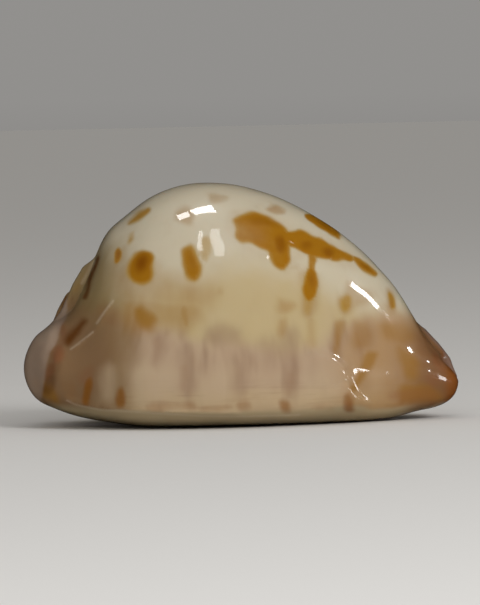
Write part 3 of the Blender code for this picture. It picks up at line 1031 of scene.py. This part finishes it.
BLUSHES = MarkSet(
    "blush",
    outer=(
        Stain(((57, 325), (62, 321), (67, 328), (67, 341), (61, 347), (58, 337)), 0.5, 5.0),
        Stain(((54, 346), (61, 344), (65, 351), (62, 361), (54, 363), (50, 356)), 0.8, 5.5),
        Stain(((46, 363), (54, 361), (54, 374), (46, 380), (43, 372)), 0.6, 4.0),
        Stain(((96, 308), (112, 304), (120, 314), (116, 327), (100, 326)), 0.35, 7.0),
        Stain(((78, 374), (90, 366), (94, 374), (88, 384), (78, 384)), 0.35, 5.0),
        Stain(((388, 396), (410, 388), (432, 388), (444, 396), (430, 403), (404, 406)), 0.45, 6.0),
        Stain(((428, 374), (440, 374), (444, 384), (434, 390), (426, 384)), 0.4, 5.0),
        Stain(((432, 352), (440, 354), (448, 366), (446, 374), (436, 366)), 0.6, 4.0),
        Stain(((344, 400), (352, 399), (352, 411), (344, 411)), 0.4, 3.0),
        Stain(((116, 252), (121, 250), (120, 258), (114, 264)), 0.4, 3.0),
        Stain(((388, 300), (393, 300), (392, 310), (387, 308)), 0.4, 3.0),
    ),
    inner=(
        Stain(((62, 326), (70, 324), (72, 340), (64, 346)), 0.6, 4.0),
        Stain(((402, 392), (430, 388), (440, 396), (410, 402)), 0.4, 6.0),
    ),
)

# Painted highlights: thin light lines along the creases at the back, the spire ridge, the base's edge and the
# underside at the front.
PAINTED_HIGHLIGHT_LINES = MarkSet(
    "painted_highlight_line",
    outer=(
        Line(((113, 301), (105, 311), (97, 323)), 2.0, 0.8, 2.0),
        Line(((93, 332), (83, 340), (71, 349)), 1.6, 0.8, 2.0),
        Line(((66, 400), (76, 405), (100, 410), (150, 413), (200, 416), (245, 416.5), (300, 415)),
             1.6, 0.7, 1.6),
        Line(((398, 415), (416, 411), (432, 407), (444, 403)), 2.4, 0.8, 2.0),
        Line(((94, 262), (88, 272), (82, 283)), 3.0, 0.7, 2.6),
    ),
)


@dataclass(frozen=True)
class Zone:
    """A mask that grows from 0 to 1 over a span of each of the shell's own axes, in millimetres."""

    name: str
    x: Span
    y: Span | None = None
    z: Span | None = None

    def cover(self, places: Array) -> Array:
        """The zone's cover.

        Args:
            places: The skin's points, in millimetres.

        Returns:
            The cover at each point, from 0 to 1.
        """
        total = np.ones(len(places))
        for values, span in zip(places.T, (self.x, self.y, self.z)):
            if span is not None:
                total = total * ease(values, *span)
        return total


@dataclass(frozen=True)
class Markings:
    """Every mask that the enamel reads, worked out at the skin's points. Some are painted shade: over the
    back end, partly at the front end, and on the underside; some are painted highlights along creases and the
    base's edge.
    """

    form: ShellForm
    callus_edge: Stations = (
        (20, 296), (60, 300), (100, 304), (150, 322), (200, 334), (250, 346),
        (290, 350), (325, 340), (355, 322), (400, 316), (430, 318), (460, 330),
    )
    callus_soft: float = 22.0
    glow_edge: Stations = ((60, 292), (140, 286), (200, 268), (240, 262), (300, 272), (360, 300), (420, 310))
    wander: tuple[tuple[float, float], ...] = ((4.6, 3.2), (1.7, 1.3))
    seed: int = 176
    hollow_span: Span = (0.5, 2.2)
    hollow_ends: Span = (30.4, 27.0)
    glow_above: float = 30.0
    glow_below: float = 44.0
    margin_rows: Span = (376.0, 404.0)
    # where the painted shade on the underside lies: how far the skin faces down, and how high
    under_shade_turn: Span = (0.35, 0.8)
    under_shade_height: Span = (5.0, 2.0)
    warm_span: Span = (7.0, 22.0)
    crease_rows: tuple[float, ...] = (317, 326, 344, 352, 366, 388, 402)
    crease_columns: tuple[float, ...] = (68, 62, 57, 51, 47, 44, 42)
    crease_soft: Span = (2.0, -4.0)
    lobe_side: Span = (2.5, 0.5)
    zones: tuple[Zone, ...] = (
        # the front end's own brown, deepened by painted shade towards the front and low down
        Zone("tip", x=(20.0, 31.0), z=(17.0, 12.0)),
        Zone("nose", x=(29.4, 32.4)),
        # painted shade: darker over the back end of the dome, where the light falls off
        Zone("shade", x=(-11.0, -22.5), z=(35.0, 22.0)),
        # painted shade: darker low on the back end, where the light falls off
        Zone("stern_shade", x=(-11.0, -24.0), z=(23.0, 14.0)),
        Zone("far_ridge", x=(25.4, 27.2), y=(1.2, 2.4), z=(4.6, 7.0)),
    )
    sets: tuple[MarkSet, ...] = (
        BLOTCHES, CORES, OCHRES, MAUVES, PALES_AND_EDGE_HIGHLIGHT, MARGIN_SPOTS, DARK_PATCHES, BLUSHES, PAINTED_HIGHLIGHT_LINES,
    )

    def wandered(self, places: Array, seen: Array) -> Array:
        """The seen spots, each moved a little, so that no stain's edge runs too smoothly.

        Args:
            places: The skin's points, in millimetres.
            seen: The (column, row) of each point.

        Returns:
            The moved (column, row) of each point.
        """
        noise.seed_set(self.seed)
        for grain, reach in self.wander:
            shifts = [noise.noise_vector(Vector(place)) for place in (places / grain).tolist()]
            seen = seen + reach * np.array(shifts)[:, (0, 2)]
        return seen

    def masks(self, places: Array) -> dict[str, Array]:
        """The masks by name.

        Args:
            places: The skin's points, in millimetres.

        Returns:
            One value for each point under each mask's name.
        """
        x, y, z = places.T
        straight = self.form.view.place(places)
        seen = self.wandered(places, straight)
        column, row = seen.T
        slope = self.form.slope(places)
        normal = slope / np.maximum(np.linalg.norm(slope, axis=1), 1e-6)[:, None]
        lining = 1.0 - ease(self.form.hollow(places), *self.hollow_span)
        hollow = lining * ease(np.abs(x), *self.hollow_ends)
        shown = 1.0 - hollow
        found = {made.name: made.cover(seen, y) * shown for made in self.sets[:-1]}
        # the painted highlight lines follow the unmoved view
        found[self.sets[-1].name] = self.sets[-1].cover(straight, y) * shown
        edge = Profile(self.callus_edge)(column)
        found["callus"] = ease(row, edge - self.callus_soft, edge + self.callus_soft)
        glow = Profile(self.glow_edge)(column)
        found["glow"] = ease(row, glow - self.glow_above, glow + self.glow_below)
        found["margin"] = ease(row, *self.margin_rows)
        found["hollow"] = hollow
        # painted shade: darker where the skin near the base faces down
        found["under"] = ease(-normal[:, 2], *self.under_shade_turn) * ease(z, *self.under_shade_height) * shown
        found["warmth"] = np.maximum(found["callus"], found["margin"]) * ease(x, *self.warm_span)
        found.update({zone.name: zone.cover(places) for zone in self.zones})
        found["far_ridge"] *= shown
        found["lobe"] = self.lobe(straight) * ease(y, *self.lobe_side) * shown
        return found

    def lobe(self, seen: Array) -> Array:
        """The pale lobe at the back, bounded by its crease."""
        crease = np.interp(seen[:, 1], self.crease_rows, self.crease_columns)
        return ease(seen[:, 0], crease + self.crease_soft[0], crease + self.crease_soft[1])


@dataclass(frozen=True)
class LipTeeth:
    """The teeth of both lips: gaps carved across each lip at an even pitch."""

    mouth: Mouth = Mouth()
    pitch: float = 2.3
    outer_depth: float = 0.62
    inner_depth: float = 0.46
    gap_share: float = 0.42
    outer_run: Span = (-25.0, 21.5)
    inner_run: Span = (-19.0, 22.0)
    run_fade: Span = (-1.0, 1.5)
    outer_reach: Span = (4.6, 2.2)
    inner_reach: Span = (3.4, 1.4)
    lip_height: Span = (5.6, 2.6)
    lip_side: Span = (0.0, 0.8)
    inner_least: float = 0.45
    inner_growth: Span = (-16.0, 10.0)
    unevenness: float = 0.32
    slow_wave: float = 0.41
    slow_start: float = 0.7
    quick_wave: float = 1.13
    quick_share: float = 0.6

    def windows(self, places: Array) -> dict[str, Array]:
        """Where each lip has teeth, and how far along the mouth each place is.

        Args:
            places: The skin's points, in millimetres.

        Returns:
            The masks outer_lip and inner_lip, and lip_along in millimetres.
        """
        x, y, z = places.T
        beyond = self.mouth.beyond_lip(places)
        centre = Profile(self.mouth.side)(x)
        low = ease(z, *self.lip_height)
        slow = np.sin(self.slow_wave * x + self.slow_start)
        quick = self.quick_share * np.sin(self.quick_wave * x)
        found = {"lip_along": x + self.unevenness * (slow + quick)}
        out, into = self.run_fade
        for name, side, (start, end), reach in (
            ("outer_lip", Side.OUTER, self.outer_run, self.outer_reach),
            ("inner_lip", Side.INNER, self.inner_run, self.inner_reach),
        ):
            here = ease((y - centre) * side.value, *self.lip_side) * ease(beyond, *reach)
            found[name] = here * low * ease(x, start + out, start + into) * ease(x, end - out, end - into)
        found["inner_lip"] *= self.inner_least + (1.0 - self.inner_least) * ease(x, *self.inner_growth)
        return found

    def tree(self) -> bpy.types.NodeTree:
        """The node tree that carves the gaps, with its sizes as named inputs.

        Returns:
            The node tree.
        """
        tree = bpy.data.node_groups.new("lip_teeth", "GeometryNodeTree")
        face = tree.interface
        face.new_socket("Skin", in_out="INPUT", socket_type="NodeSocketGeometry")
        for name in ("Pitch", "Outer Depth", "Inner Depth", "Gap Share"):
            face.new_socket(name, in_out="INPUT", socket_type="NodeSocketFloat")
        face.new_socket("Enamel", in_out="INPUT", socket_type="NodeSocketMaterial")
        face.new_socket("Skin", in_out="OUTPUT", socket_type="NodeSocketGeometry")
        nodes, link = tree.nodes, tree.links.new
        maths = Maths(tree)
        given = nodes.new("NodeGroupInput")

        def attribute(name: str) -> Socket:
            """The value of one of the skin's float attributes.

            Args:
                name: The attribute's name.

            Returns:
                The value's socket.
            """
            node = nodes.new("GeometryNodeInputNamedAttribute")
            node.data_type = "FLOAT"
            node.inputs["Name"].default_value = name
            return node.outputs["Attribute"]

        turns = maths("DIVIDE", attribute("lip_along"), given.outputs["Pitch"])
        wave = maths("COSINE", maths("MULTIPLY", turns, math.tau))
        fit = nodes.new("ShaderNodeMapRange")
        fit.interpolation_type = "SMOOTHERSTEP"
        link(wave, fit.inputs["Value"])
        lowest = maths("SUBTRACT", 0.5, maths("MULTIPLY", given.outputs["Gap Share"], 2.0))
        link(lowest, fit.inputs["From Min"])
        fit.inputs["From Max"].default_value = 1.0
        gap = fit.outputs["Result"]
        outer = maths("MULTIPLY", attribute("outer_lip"), given.outputs["Outer Depth"])
        inner = maths("MULTIPLY", attribute("inner_lip"), given.outputs["Inner Depth"])
        depth = maths("MULTIPLY", gap, maths("ADD", outer, inner))
        scale = nodes.new("ShaderNodeVectorMath")
        scale.operation = "SCALE"
        link(nodes.new("GeometryNodeInputNormal").outputs["Normal"], scale.inputs[0])
        link(maths("MULTIPLY", depth, -1.0), scale.inputs["Scale"])
        move = nodes.new("GeometryNodeSetPosition")
        link(given.outputs["Skin"], move.inputs["Geometry"])
        link(scale.outputs["Vector"], move.inputs["Offset"])
        keep = nodes.new("GeometryNodeStoreNamedAttribute")
        keep.data_type, keep.domain = "FLOAT", "POINT"
        keep.inputs["Name"].default_value = "tooth_gap"
        link(move.outputs["Geometry"], keep.inputs["Geometry"])
        lips = maths("MAXIMUM", attribute("outer_lip"), attribute("inner_lip"))
        link(maths("MULTIPLY", gap, lips), keep.inputs["Value"])
        realize = nodes.new("GeometryNodeRealizeInstances")
        link(keep.outputs["Geometry"], realize.inputs["Geometry"])
        dress = nodes.new("GeometryNodeSetMaterial")
        link(realize.outputs["Geometry"], dress.inputs["Geometry"])
        link(given.outputs["Enamel"], dress.inputs["Material"])
        given_out = nodes.new("NodeGroupOutput")
        link(dress.outputs["Geometry"], given_out.inputs["Skin"])
        return tree

    def carve(self, piece: bpy.types.Object, material: bpy.types.Material) -> bpy.types.Mesh:
        """The piece's mesh with the gaps carved into it.

        Args:
            piece: The skin, with the masks of windows() as attributes.
            material: The enamel.

        Returns:
            The new mesh; the piece keeps no modifier.
        """
        tree = self.tree()
        modifier = piece.modifiers.new("teeth", "NODES")
        modifier.node_group = tree
        values = {"Pitch": self.pitch, "Gap Share": self.gap_share, "Enamel": material,
                  "Outer Depth": self.outer_depth * MM, "Inner Depth": self.inner_depth * MM}
        for socket in tree.interface.items_tree:
            if socket.in_out == "INPUT" and socket.name in values:
                modifier[socket.identifier] = values[socket.name]
        graph = bpy.context.evaluated_depsgraph_get()
        mesh = bpy.data.meshes.new_from_object(piece.evaluated_get(graph), depsgraph=graph)
        piece.modifiers.remove(modifier)
        return mesh


class Grain(Enum):
    """The noises of the enamel: scale per metre, detail, and how its grain is stretched."""

    FINE = (420.0, 4.0, (1.0, 1.0, 1.0))
    SOFT = (130.0, 3.0, (1.0, 1.0, 1.0))
    STREAK = (300.0, 2.0, (1.0, 1.0, 0.2))
    BAND = (110.0, 2.0, (1.0, 1.0, 0.3))
    GROWTH = (1900.0, 2.0, (0.08, 0.08, 1.0))


@dataclass(frozen=True)
class Layer:
    """One colour laid over those beneath it, where its mask and its noise say."""

    mask: str
    colour: Colour
    share: float
    low: float = 0.1
    high: float = 0.9
    grain: Grain = Grain.SOFT
    breakup: float = 0.0


@dataclass(frozen=True)
class Enamel:
    """The glossy enamel: its colours, and how they are laid over each other by the masks."""

    cream: Colour = (0.635, 0.56, 0.415)
    layers: tuple[Layer, ...] = (
        Layer("glow", (0.55, 0.42, 0.215), 0.88, 0.0, 1.0, Grain.SOFT, 0.7),
        Layer("callus", (0.505, 0.36, 0.245), 0.88, 0.15, 0.95, Grain.BAND, 0.8),
        Layer("margin", (0.57, 0.425, 0.25), 0.7, 0.1, 1.0, Grain.BAND, 0.6),
        Layer("warmth", (0.41, 0.23, 0.085), 0.7, 0.1, 1.0, Grain.BAND, 0.5),
        Layer("mauve", (0.31, 0.19, 0.12), 0.66, 0.0, 1.0, Grain.STREAK, 0.8),
        # painted shade over the back end of the dome
        Layer("shade", (0.25, 0.165, 0.055), 0.85, 0.0, 1.0, Grain.STREAK, 0.3),
        # painted shade low on the back end
        Layer("stern_shade", (0.26, 0.145, 0.075), 0.78, 0.05, 1.0, Grain.SOFT, 0.8),
        # pale patches of the margin, and a painted highlight band along the base's edge
        Layer("pale", (0.60, 0.46, 0.30), 0.66, 0.05, 1.0, Grain.STREAK, 0.8),
        # painted shade on the underside that faces down
        Layer("under", (0.48, 0.38, 0.23), 0.85),
        # the front end's own brown, partly painted shade towards its lower front
        Layer("tip", (0.22, 0.10, 0.04), 0.9, 0.1, 1.0, Grain.BAND, 0.4),
        Layer("nose", (0.25, 0.075, 0.01), 0.85, 0.1, 1.0, Grain.SOFT, 0.2),
        Layer("ochre", (0.34, 0.155, 0.012), 0.92, 0.0, 0.9, Grain.STREAK, 0.25),
        Layer("blotch", (0.44, 0.26, 0.05), 0.92, 0.0, 0.6, Grain.STREAK, 0.3),
        Layer("blotch", (0.375, 0.155, 0.004), 0.97, 0.3, 0.9, Grain.FINE, 0.4),
        Layer("core", (0.19, 0.045, 0.0), 0.88, 0.05, 1.0, Grain.SOFT, 0.3),
        Layer("margin_spot", (0.27, 0.10, 0.012), 0.92, 0.1, 1.0, Grain.STREAK, 0.4),
        Layer("blush", (0.28, 0.10, 0.04), 0.8, 0.0, 1.0, Grain.SOFT, 0.2),
        Layer("dark_patch", (0.13, 0.038, 0.002), 0.94, 0.08, 0.95, Grain.SOFT, 0.2),
        Layer("lobe", (0.36, 0.265, 0.20), 0.8, 0.0, 1.0),
        Layer("far_ridge", (0.22, 0.14, 0.105), 0.9, 0.0, 1.0),
        # painted highlight lines
        Layer("painted_highlight_line", (0.72, 0.60, 0.44), 0.5, 0.0, 1.0),
        Layer("hollow", (0.62, 0.53, 0.50), 0.9),
        Layer("tooth_gap", (0.30, 0.15, 0.05), 0.75),
    )
    mauve: Colour = (0.30, 0.18, 0.115)
    streak_share: float = 0.6
    streak_span: Span = (0.5, 0.74)
    growth_share: float = 0.5
    growth_span: Span = (0.5, 0.66)
    growth_relief: float = 0.1
    growth_depth: float = 0.05
    roughness: float = 0.3
    roughness_spread: float = 0.06
    under_gloss: float = 0.08
    coat: float = 0.8
    coat_roughness: float = 0.04
    depth_of_glow: float = 0.12
    glow_reach: float = 0.8
    glow_colour: Colour = (1.0, 0.6, 0.35)

    def material(self) -> bpy.types.Material:
        """Builds the enamel's material.

        Returns:
            The material.
        """
        made = bpy.data.materials.new("enamel_finish")
        made.use_nodes = True
        tree = made.node_tree
        nodes, link = tree.nodes, tree.links.new
        maths = Maths(tree)
        shader = nodes["Principled BSDF"]
        place = nodes.new("ShaderNodeTexCoord").outputs["Object"]

        def cloud(grain: Grain) -> Socket:
            """One of the noises over the object.

            Args:
                grain: Which of the noises.

            Returns:
                The noise's socket.
            """
            scale, detail, stretch = grain.value
            mapping = nodes.new("ShaderNodeMapping")
            mapping.inputs["Scale"].default_value = stretch
            made_cloud = nodes.new("ShaderNodeTexNoise")
            made_cloud.inputs["Scale"].default_value = scale
            made_cloud.inputs["Detail"].default_value = detail
            link(place, mapping.inputs["Vector"])
            link(mapping.outputs["Vector"], made_cloud.inputs["Vector"])
            return made_cloud.outputs["Fac"]

        def mask(name: str) -> Socket:
            """One of the skin's masks.

            Args:
                name: The mask's name.

            Returns:
                The mask's socket.
            """
            node = nodes.new("ShaderNodeAttribute")
            node.attribute_name = name
            return node.outputs["Fac"]

        def span(value: Socket, low: float, high: float, top: float) -> Socket:
            """A smooth step of the value, from 0 at low to top at high.

            Args:
                value: The value.
                low: Where the step starts.
                high: Where it ends.
                top: How high it is.

            Returns:
                The step's socket.
            """
            node = nodes.new("ShaderNodeMapRange")
            node.interpolation_type = "SMOOTHSTEP"
            link(value, node.inputs["Value"])
            node.inputs["From Min"].default_value, node.inputs["From Max"].default_value = low, high
            node.inputs["To Max"].default_value = top
            return node.outputs["Result"]

        def over(under: Socket | Colour, colour: Colour, share: Socket) -> Socket:
            """The colour laid over what is under it by a share.

            Args:
                under: What is under it.
                colour: The colour laid over it.
                share: How much of it covers.

            Returns:
                The blended colour's socket.
            """
            node = nodes.new("ShaderNodeMix")
            node.data_type = "RGBA"
            link(share, node.inputs["Factor"])
            if isinstance(under, tuple):
                node.inputs["A"].default_value = (*under, 1.0)
            else:
                link(under, node.inputs["A"])
            node.inputs["B"].default_value = (*colour, 1.0)
            return node.outputs["Result"]

        clouds = {grain: cloud(grain) for grain in Grain}
        colour: Socket | Colour = self.cream
        for layer in self.layers:
            drift = maths("MULTIPLY", maths("SUBTRACT", clouds[layer.grain], 0.5), layer.breakup)
            share = span(maths("ADD", mask(layer.mask), drift), layer.low, layer.high, layer.share)
            colour = over(colour, layer.colour, share)
            if layer.mask == "callus":
                streaks = span(clouds[Grain.STREAK], *self.streak_span, self.streak_share)
                colour = over(colour, self.mauve, maths("MULTIPLY", streaks, mask("callus")))
                lines = span(clouds[Grain.GROWTH], *self.growth_span, self.growth_share)
                colour = over(colour, self.mauve, maths("MULTIPLY", lines, mask("margin")))
        link(colour, shader.inputs["Base Color"])
        spread = maths("MULTIPLY", clouds[Grain.FINE], self.roughness_spread)
        gloss = maths("ADD", self.roughness - self.roughness_spread / 2, spread)
        link(gloss, shader.inputs["Roughness"])
        bump = nodes.new("ShaderNodeBump")
        bump.inputs["Strength"].default_value = self.growth_relief
        bump.inputs["Distance"].default_value = self.growth_depth * MM
        link(clouds[Grain.GROWTH], bump.inputs["Height"])
        link(bump.outputs["Normal"], shader.inputs["Normal"])
        shader.inputs["Specular IOR Level"].default_value = self.under_gloss
        shader.inputs["Coat Weight"].default_value = self.coat
        shader.inputs["Coat Roughness"].default_value = self.coat_roughness
        shader.inputs["Subsurface Weight"].default_value = self.depth_of_glow
        shader.inputs["Subsurface Radius"].default_value = self.glow_colour
        shader.inputs["Subsurface Scale"].default_value = self.glow_reach * MM
        return made


@dataclass
class Shell:
    """The shell itself: one closed skin with its teeth, masks and enamel."""

    form: ShellForm = field(default_factory=ShellForm)
    teeth: LipTeeth = field(default_factory=LipTeeth)
    finish: Enamel = field(default_factory=Enamel)
    cell: float = 0.46
    quick_cell: float = 0.8

    def skin(self) -> bpy.types.Object:
        """The closed skin before its teeth are carved, with every mask on its points.

        Returns:
            The skin's object.
        """
        maker = SkinMaker(self.form, cell=self.cell)
        points, quads = maker.make()
        mesh = bpy.data.meshes.new("cowrie")
        mesh.from_pydata((points * MM).tolist(), [], quads.tolist())
        mesh.update()
        masks = {**Markings(self.form).masks(points), **self.teeth.windows(points)}
        for name, values in masks.items():
            mesh.attributes.new(name, "FLOAT", "POINT").data.foreach_set("value", values)
        piece = bpy.data.objects.new("cowrie", mesh)
        bpy.context.scene.collection.objects.link(piece)
        return piece

    def build(self) -> bpy.types.Object:
        """Makes the piece, carves its teeth, and gives it its place on the frame.

        Returns:
            The finished piece's object.
        """
        piece = self.skin()
        piece.data = self.teeth.carve(piece, self.finish.material())
        piece.data.shade_smooth()
        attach(piece, "root")
        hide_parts("shell")
        LOG.info("%s: %d points, %d faces", piece.name, len(piece.data.vertices), len(piece.data.polygons))
        return piece


@dataclass(frozen=True)
class Glint:
    """A highlight: the spot of the picture where it is seen, its size there, and its lamp's radiance."""

    name: str
    column: float
    row: float
    wide: float
    tall: float
    tilt: float = 0.0
    radiance: float = 18.0
    distance: float = 450.0

    def marks(self) -> list[tuple[float, float]]:
        """The highlight's middle, and the middles of its left, right, lower and upper edge.

        Returns:
            The (column, row) of each.
        """
        turn = math.radians(self.tilt)
        along = (math.cos(turn) * self.wide / 2, math.sin(turn) * self.wide / 2)
        across = (math.sin(turn) * self.tall / 2, -math.cos(turn) * self.tall / 2)
        steps = ((0, 0), (-along[0], -along[1]), along, (-across[0], -across[1]), across)
        return [(self.column + right, self.row + down) for right, down in steps]


@dataclass(frozen=True)
class SoftLamp:
    """A broad soft lamp: its place and size in metres, and its power in watts."""

    name: str
    place: tuple[float, float, float]
    size: tuple[float, float]
    power: float


@dataclass(frozen=True)
class Studio:
    """The pale floor, the soft lamps and the camera."""

    view: SideView = SideView()
    sensor: float = 36.0
    clip: Span = (0.01, 30.0)
    floor_half: float = 9.0
    floor_roughness: float = 0.95
    floor_colour: Colour = (0.80, 0.79, 0.77)
    sky_colour: Colour = (1.0, 0.975, 0.94)
    sky_strength: float = 0.40
    sky_floor: Span = (-0.12, 0.0)
    search_reach: float = 60.0
    search_steps: int = 1201
    middle: tuple[float, float, float] = (0.0, 0.0, 0.015)
    lamps: tuple[SoftLamp, ...] = (
        SoftLamp("right_softbox", (0.45, -0.64, 0.45), (0.36, 0.36), 3.1),
        SoftLamp("front_softbox", (-0.05, -0.80, 0.36), (0.40, 0.30), 0.9),
        SoftLamp("top_softbox", (0.00, -0.05, 0.90), (0.45, 0.45), 0.3),
    )
    glints: tuple[Glint, ...] = (
        Glint("window_left", 184, 216, 11, 5.5, -27.0, 14.0),
        Glint("window_right", 202, 210, 21, 6.5, -14.0, 20.0),
        Glint("window_low", 215, 240, 9, 27, -8.0, 5.0),
        Glint("window_edge", 200, 239, 4, 18, 4.0, 7.0),
        Glint("lamp_right", 369, 298, 40, 3.8, 43.0, 30.0),
        Glint("lamp_dot", 268, 257, 2.5, 3, 20.0, 12.0),
        Glint("lamp_spark", 291, 242, 1.5, 1.5, 0.0, 6.0),
        Glint("lamp_tip", 429.0, 370.5, 1.5, 1.7, 0.0, 26.0),
        Glint("lamp_beak", 443.0, 378.5, 5.0, 3.5, 0.0, 12.0, 45.0),
    )

    def camera(self) -> bpy.types.Object:
        """The camera at the photograph's angle, roll and framing.

        Returns:
            The camera's object.
        """
        data = bpy.data.cameras.new("camera")
        data.sensor_width = self.sensor
        data.lens = self.sensor * self.view.distance / (self.view.rows * self.view.pixel)
        data.clip_start, data.clip_end = self.clip
        made = bpy.data.objects.new("camera", data)
        turn = Matrix(self.view.axes().tolist()).transposed().to_4x4()
        made.matrix_world = Matrix.Translation(Vector(self.view.eye() * MM)) @ turn
        bpy.context.scene.collection.objects.link(made)
        bpy.context.scene.camera = made
        return made

    def floor(self) -> bpy.types.Object:
        """The wide pale floor.

        Returns:
            The floor's object.
        """
        half = self.floor_half
        mesh = bpy.data.meshes.new("floor")
        corners = [(-half, -half, 0), (half, -half, 0), (half, half, 0), (-half, half, 0)]
        mesh.from_pydata(corners, [], [(0, 1, 2, 3)])
        made = bpy.data.objects.new("floor", mesh)
        bpy.context.scene.collection.objects.link(made)
        paper = bpy.data.materials.new("paper_floor")
        paper.use_nodes = True
        shader = paper.node_tree.nodes["Principled BSDF"]
        shader.inputs["Base Color"].default_value = (*self.floor_colour, 1.0)
        shader.inputs["Roughness"].default_value = self.floor_roughness
        shader.inputs["Specular IOR Level"].default_value = 0.0
        mesh.materials.append(paper)
        made.visible_glossy = False
        return made

    def sky(self) -> bpy.types.World:
        """A soft world that the enamel doesn't mirror, as bright at its horizon as the far floor.

        Returns:
            The world.
        """
        world = bpy.data.worlds.new("soft_world")
        world.use_nodes = True
        nodes, link = world.node_tree.nodes, world.node_tree.links.new
        albedo = sum(self.floor_colour) / 3
        horizon = (2 * albedo / 3) / (1 - albedo / 3)
        split = nodes.new("ShaderNodeSeparateXYZ")
        link(nodes.new("ShaderNodeTexCoord").outputs["Generated"], split.inputs["Vector"])
        rise = nodes.new("ShaderNodeMapRange")
        link(split.outputs["Z"], rise.inputs["Value"])
        rise.inputs["To Min"].default_value = horizon * self.sky_strength
        rise.inputs["To Max"].default_value = self.sky_strength
        ground = nodes.new("ShaderNodeMapRange")
        link(split.outputs["Z"], ground.inputs["Value"])
        ground.inputs["From Min"].default_value, ground.inputs["From Max"].default_value = self.sky_floor
        strength = Maths(world.node_tree)("MULTIPLY", rise.outputs["Result"], ground.outputs["Result"])
        link(strength, nodes["Background"].inputs["Strength"])
        nodes["Background"].inputs["Color"].default_value = (*self.sky_colour, 1.0)
        world.cycles_visibility.glossy = False
        bpy.context.scene.world = world
        return world

    def lamp(self, name: str, turn: Matrix, size: tuple[float, float], power: float) -> bpy.types.Object:
        """A rectangular lamp.

        Args:
            name: The lamp's name.
            turn: Its place and turn, shining along its own -Z.
            size: Its width and height, in metres.
            power: Its power, in watts.

        Returns:
            The lamp's object.
        """
        data = bpy.data.lights.new(name, "AREA")
        data.shape = "RECTANGLE"
        data.size, data.size_y = size
        data.energy = power
        made = bpy.data.objects.new(name, data)
        made.matrix_world = turn
        made.visible_camera = False
        bpy.context.scene.collection.objects.link(made)
        return made

    def light(self) -> None:
        """Hangs the broad soft lamps, which the enamel doesn't mirror."""
        for soft in self.lamps:
            place = Vector(soft.place)
            turn = (place - Vector(self.middle)).to_track_quat("Z", "Y").to_matrix().to_4x4()
            made = self.lamp(soft.name, Matrix.Translation(place) @ turn, soft.size, soft.power)
            made.visible_glossy = False

    def mirrored(self, form: ShellForm, column: float, row: float) -> tuple[Array, Array]:
        """The spot of the shell that is seen there, and the direction that it mirrors to the eye.

        Args:
            form: The shell's form.
            column: The column of the picture.
            row: The row of the picture.

        Returns:
            The spot, in millimetres, and the direction.
        """
        ray = self.view.sight(column, row)
        reach = self.view.distance + np.linspace(-self.search_reach, self.search_reach, self.search_steps)
        along = self.view.eye() + reach[:, None] * ray
        first = int(np.argmax(form.level(along) < 0))
        spot = along[first]
        normal = form.slope(spot[None, :])[0]
        normal /= np.linalg.norm(normal)
        return spot, ray - 2 * (ray @ normal) * normal

    def sparkle(self, form: ShellForm) -> None:
        """Hangs a small lamp for each highlight, where the enamel mirrors it to the eye.

        Args:
            form: The shell's form.
        """
        for glint in self.glints:
            seen = [self.mirrored(form, *mark) for mark in glint.marks()]
            middle, left, right, low, high = [spot + way * glint.distance for spot, way in seen]
            wide, tall = np.linalg.norm(right - left), np.linalg.norm(high - low)
            facing = Vector(seen[0][1])
            along = Vector(right - left) if wide > tall else Vector(high - low).cross(facing)
            along = (along - along.dot(facing) * facing).normalized()
            turn = Matrix((along, facing.cross(along), facing)).transposed().to_4x4()
            power = glint.radiance * math.pi * wide * tall * MM**2
            turn = Matrix.Translation(Vector(middle * MM)) @ turn
            self.lamp(glint.name, turn, (wide * MM, tall * MM), power).visible_diffuse = False
            LOG.info("%s: %.0f by %.0f mm, towards %s", glint.name, wide, tall, seen[0][1].round(2))


def main() -> None:
    """Builds the shell in its studio, and reports each piece."""
    logging.basicConfig(level=logging.INFO, format="%(message)s")
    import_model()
    bpy.context.scene.view_settings.view_transform = "Standard"
    studio = Studio()
    studio.camera()
    studio.floor()
    studio.sky()
    shell = Shell()
    shell.build()
    studio.light()
    studio.sparkle(shell.form)


if __name__ == "__main__":
    main()
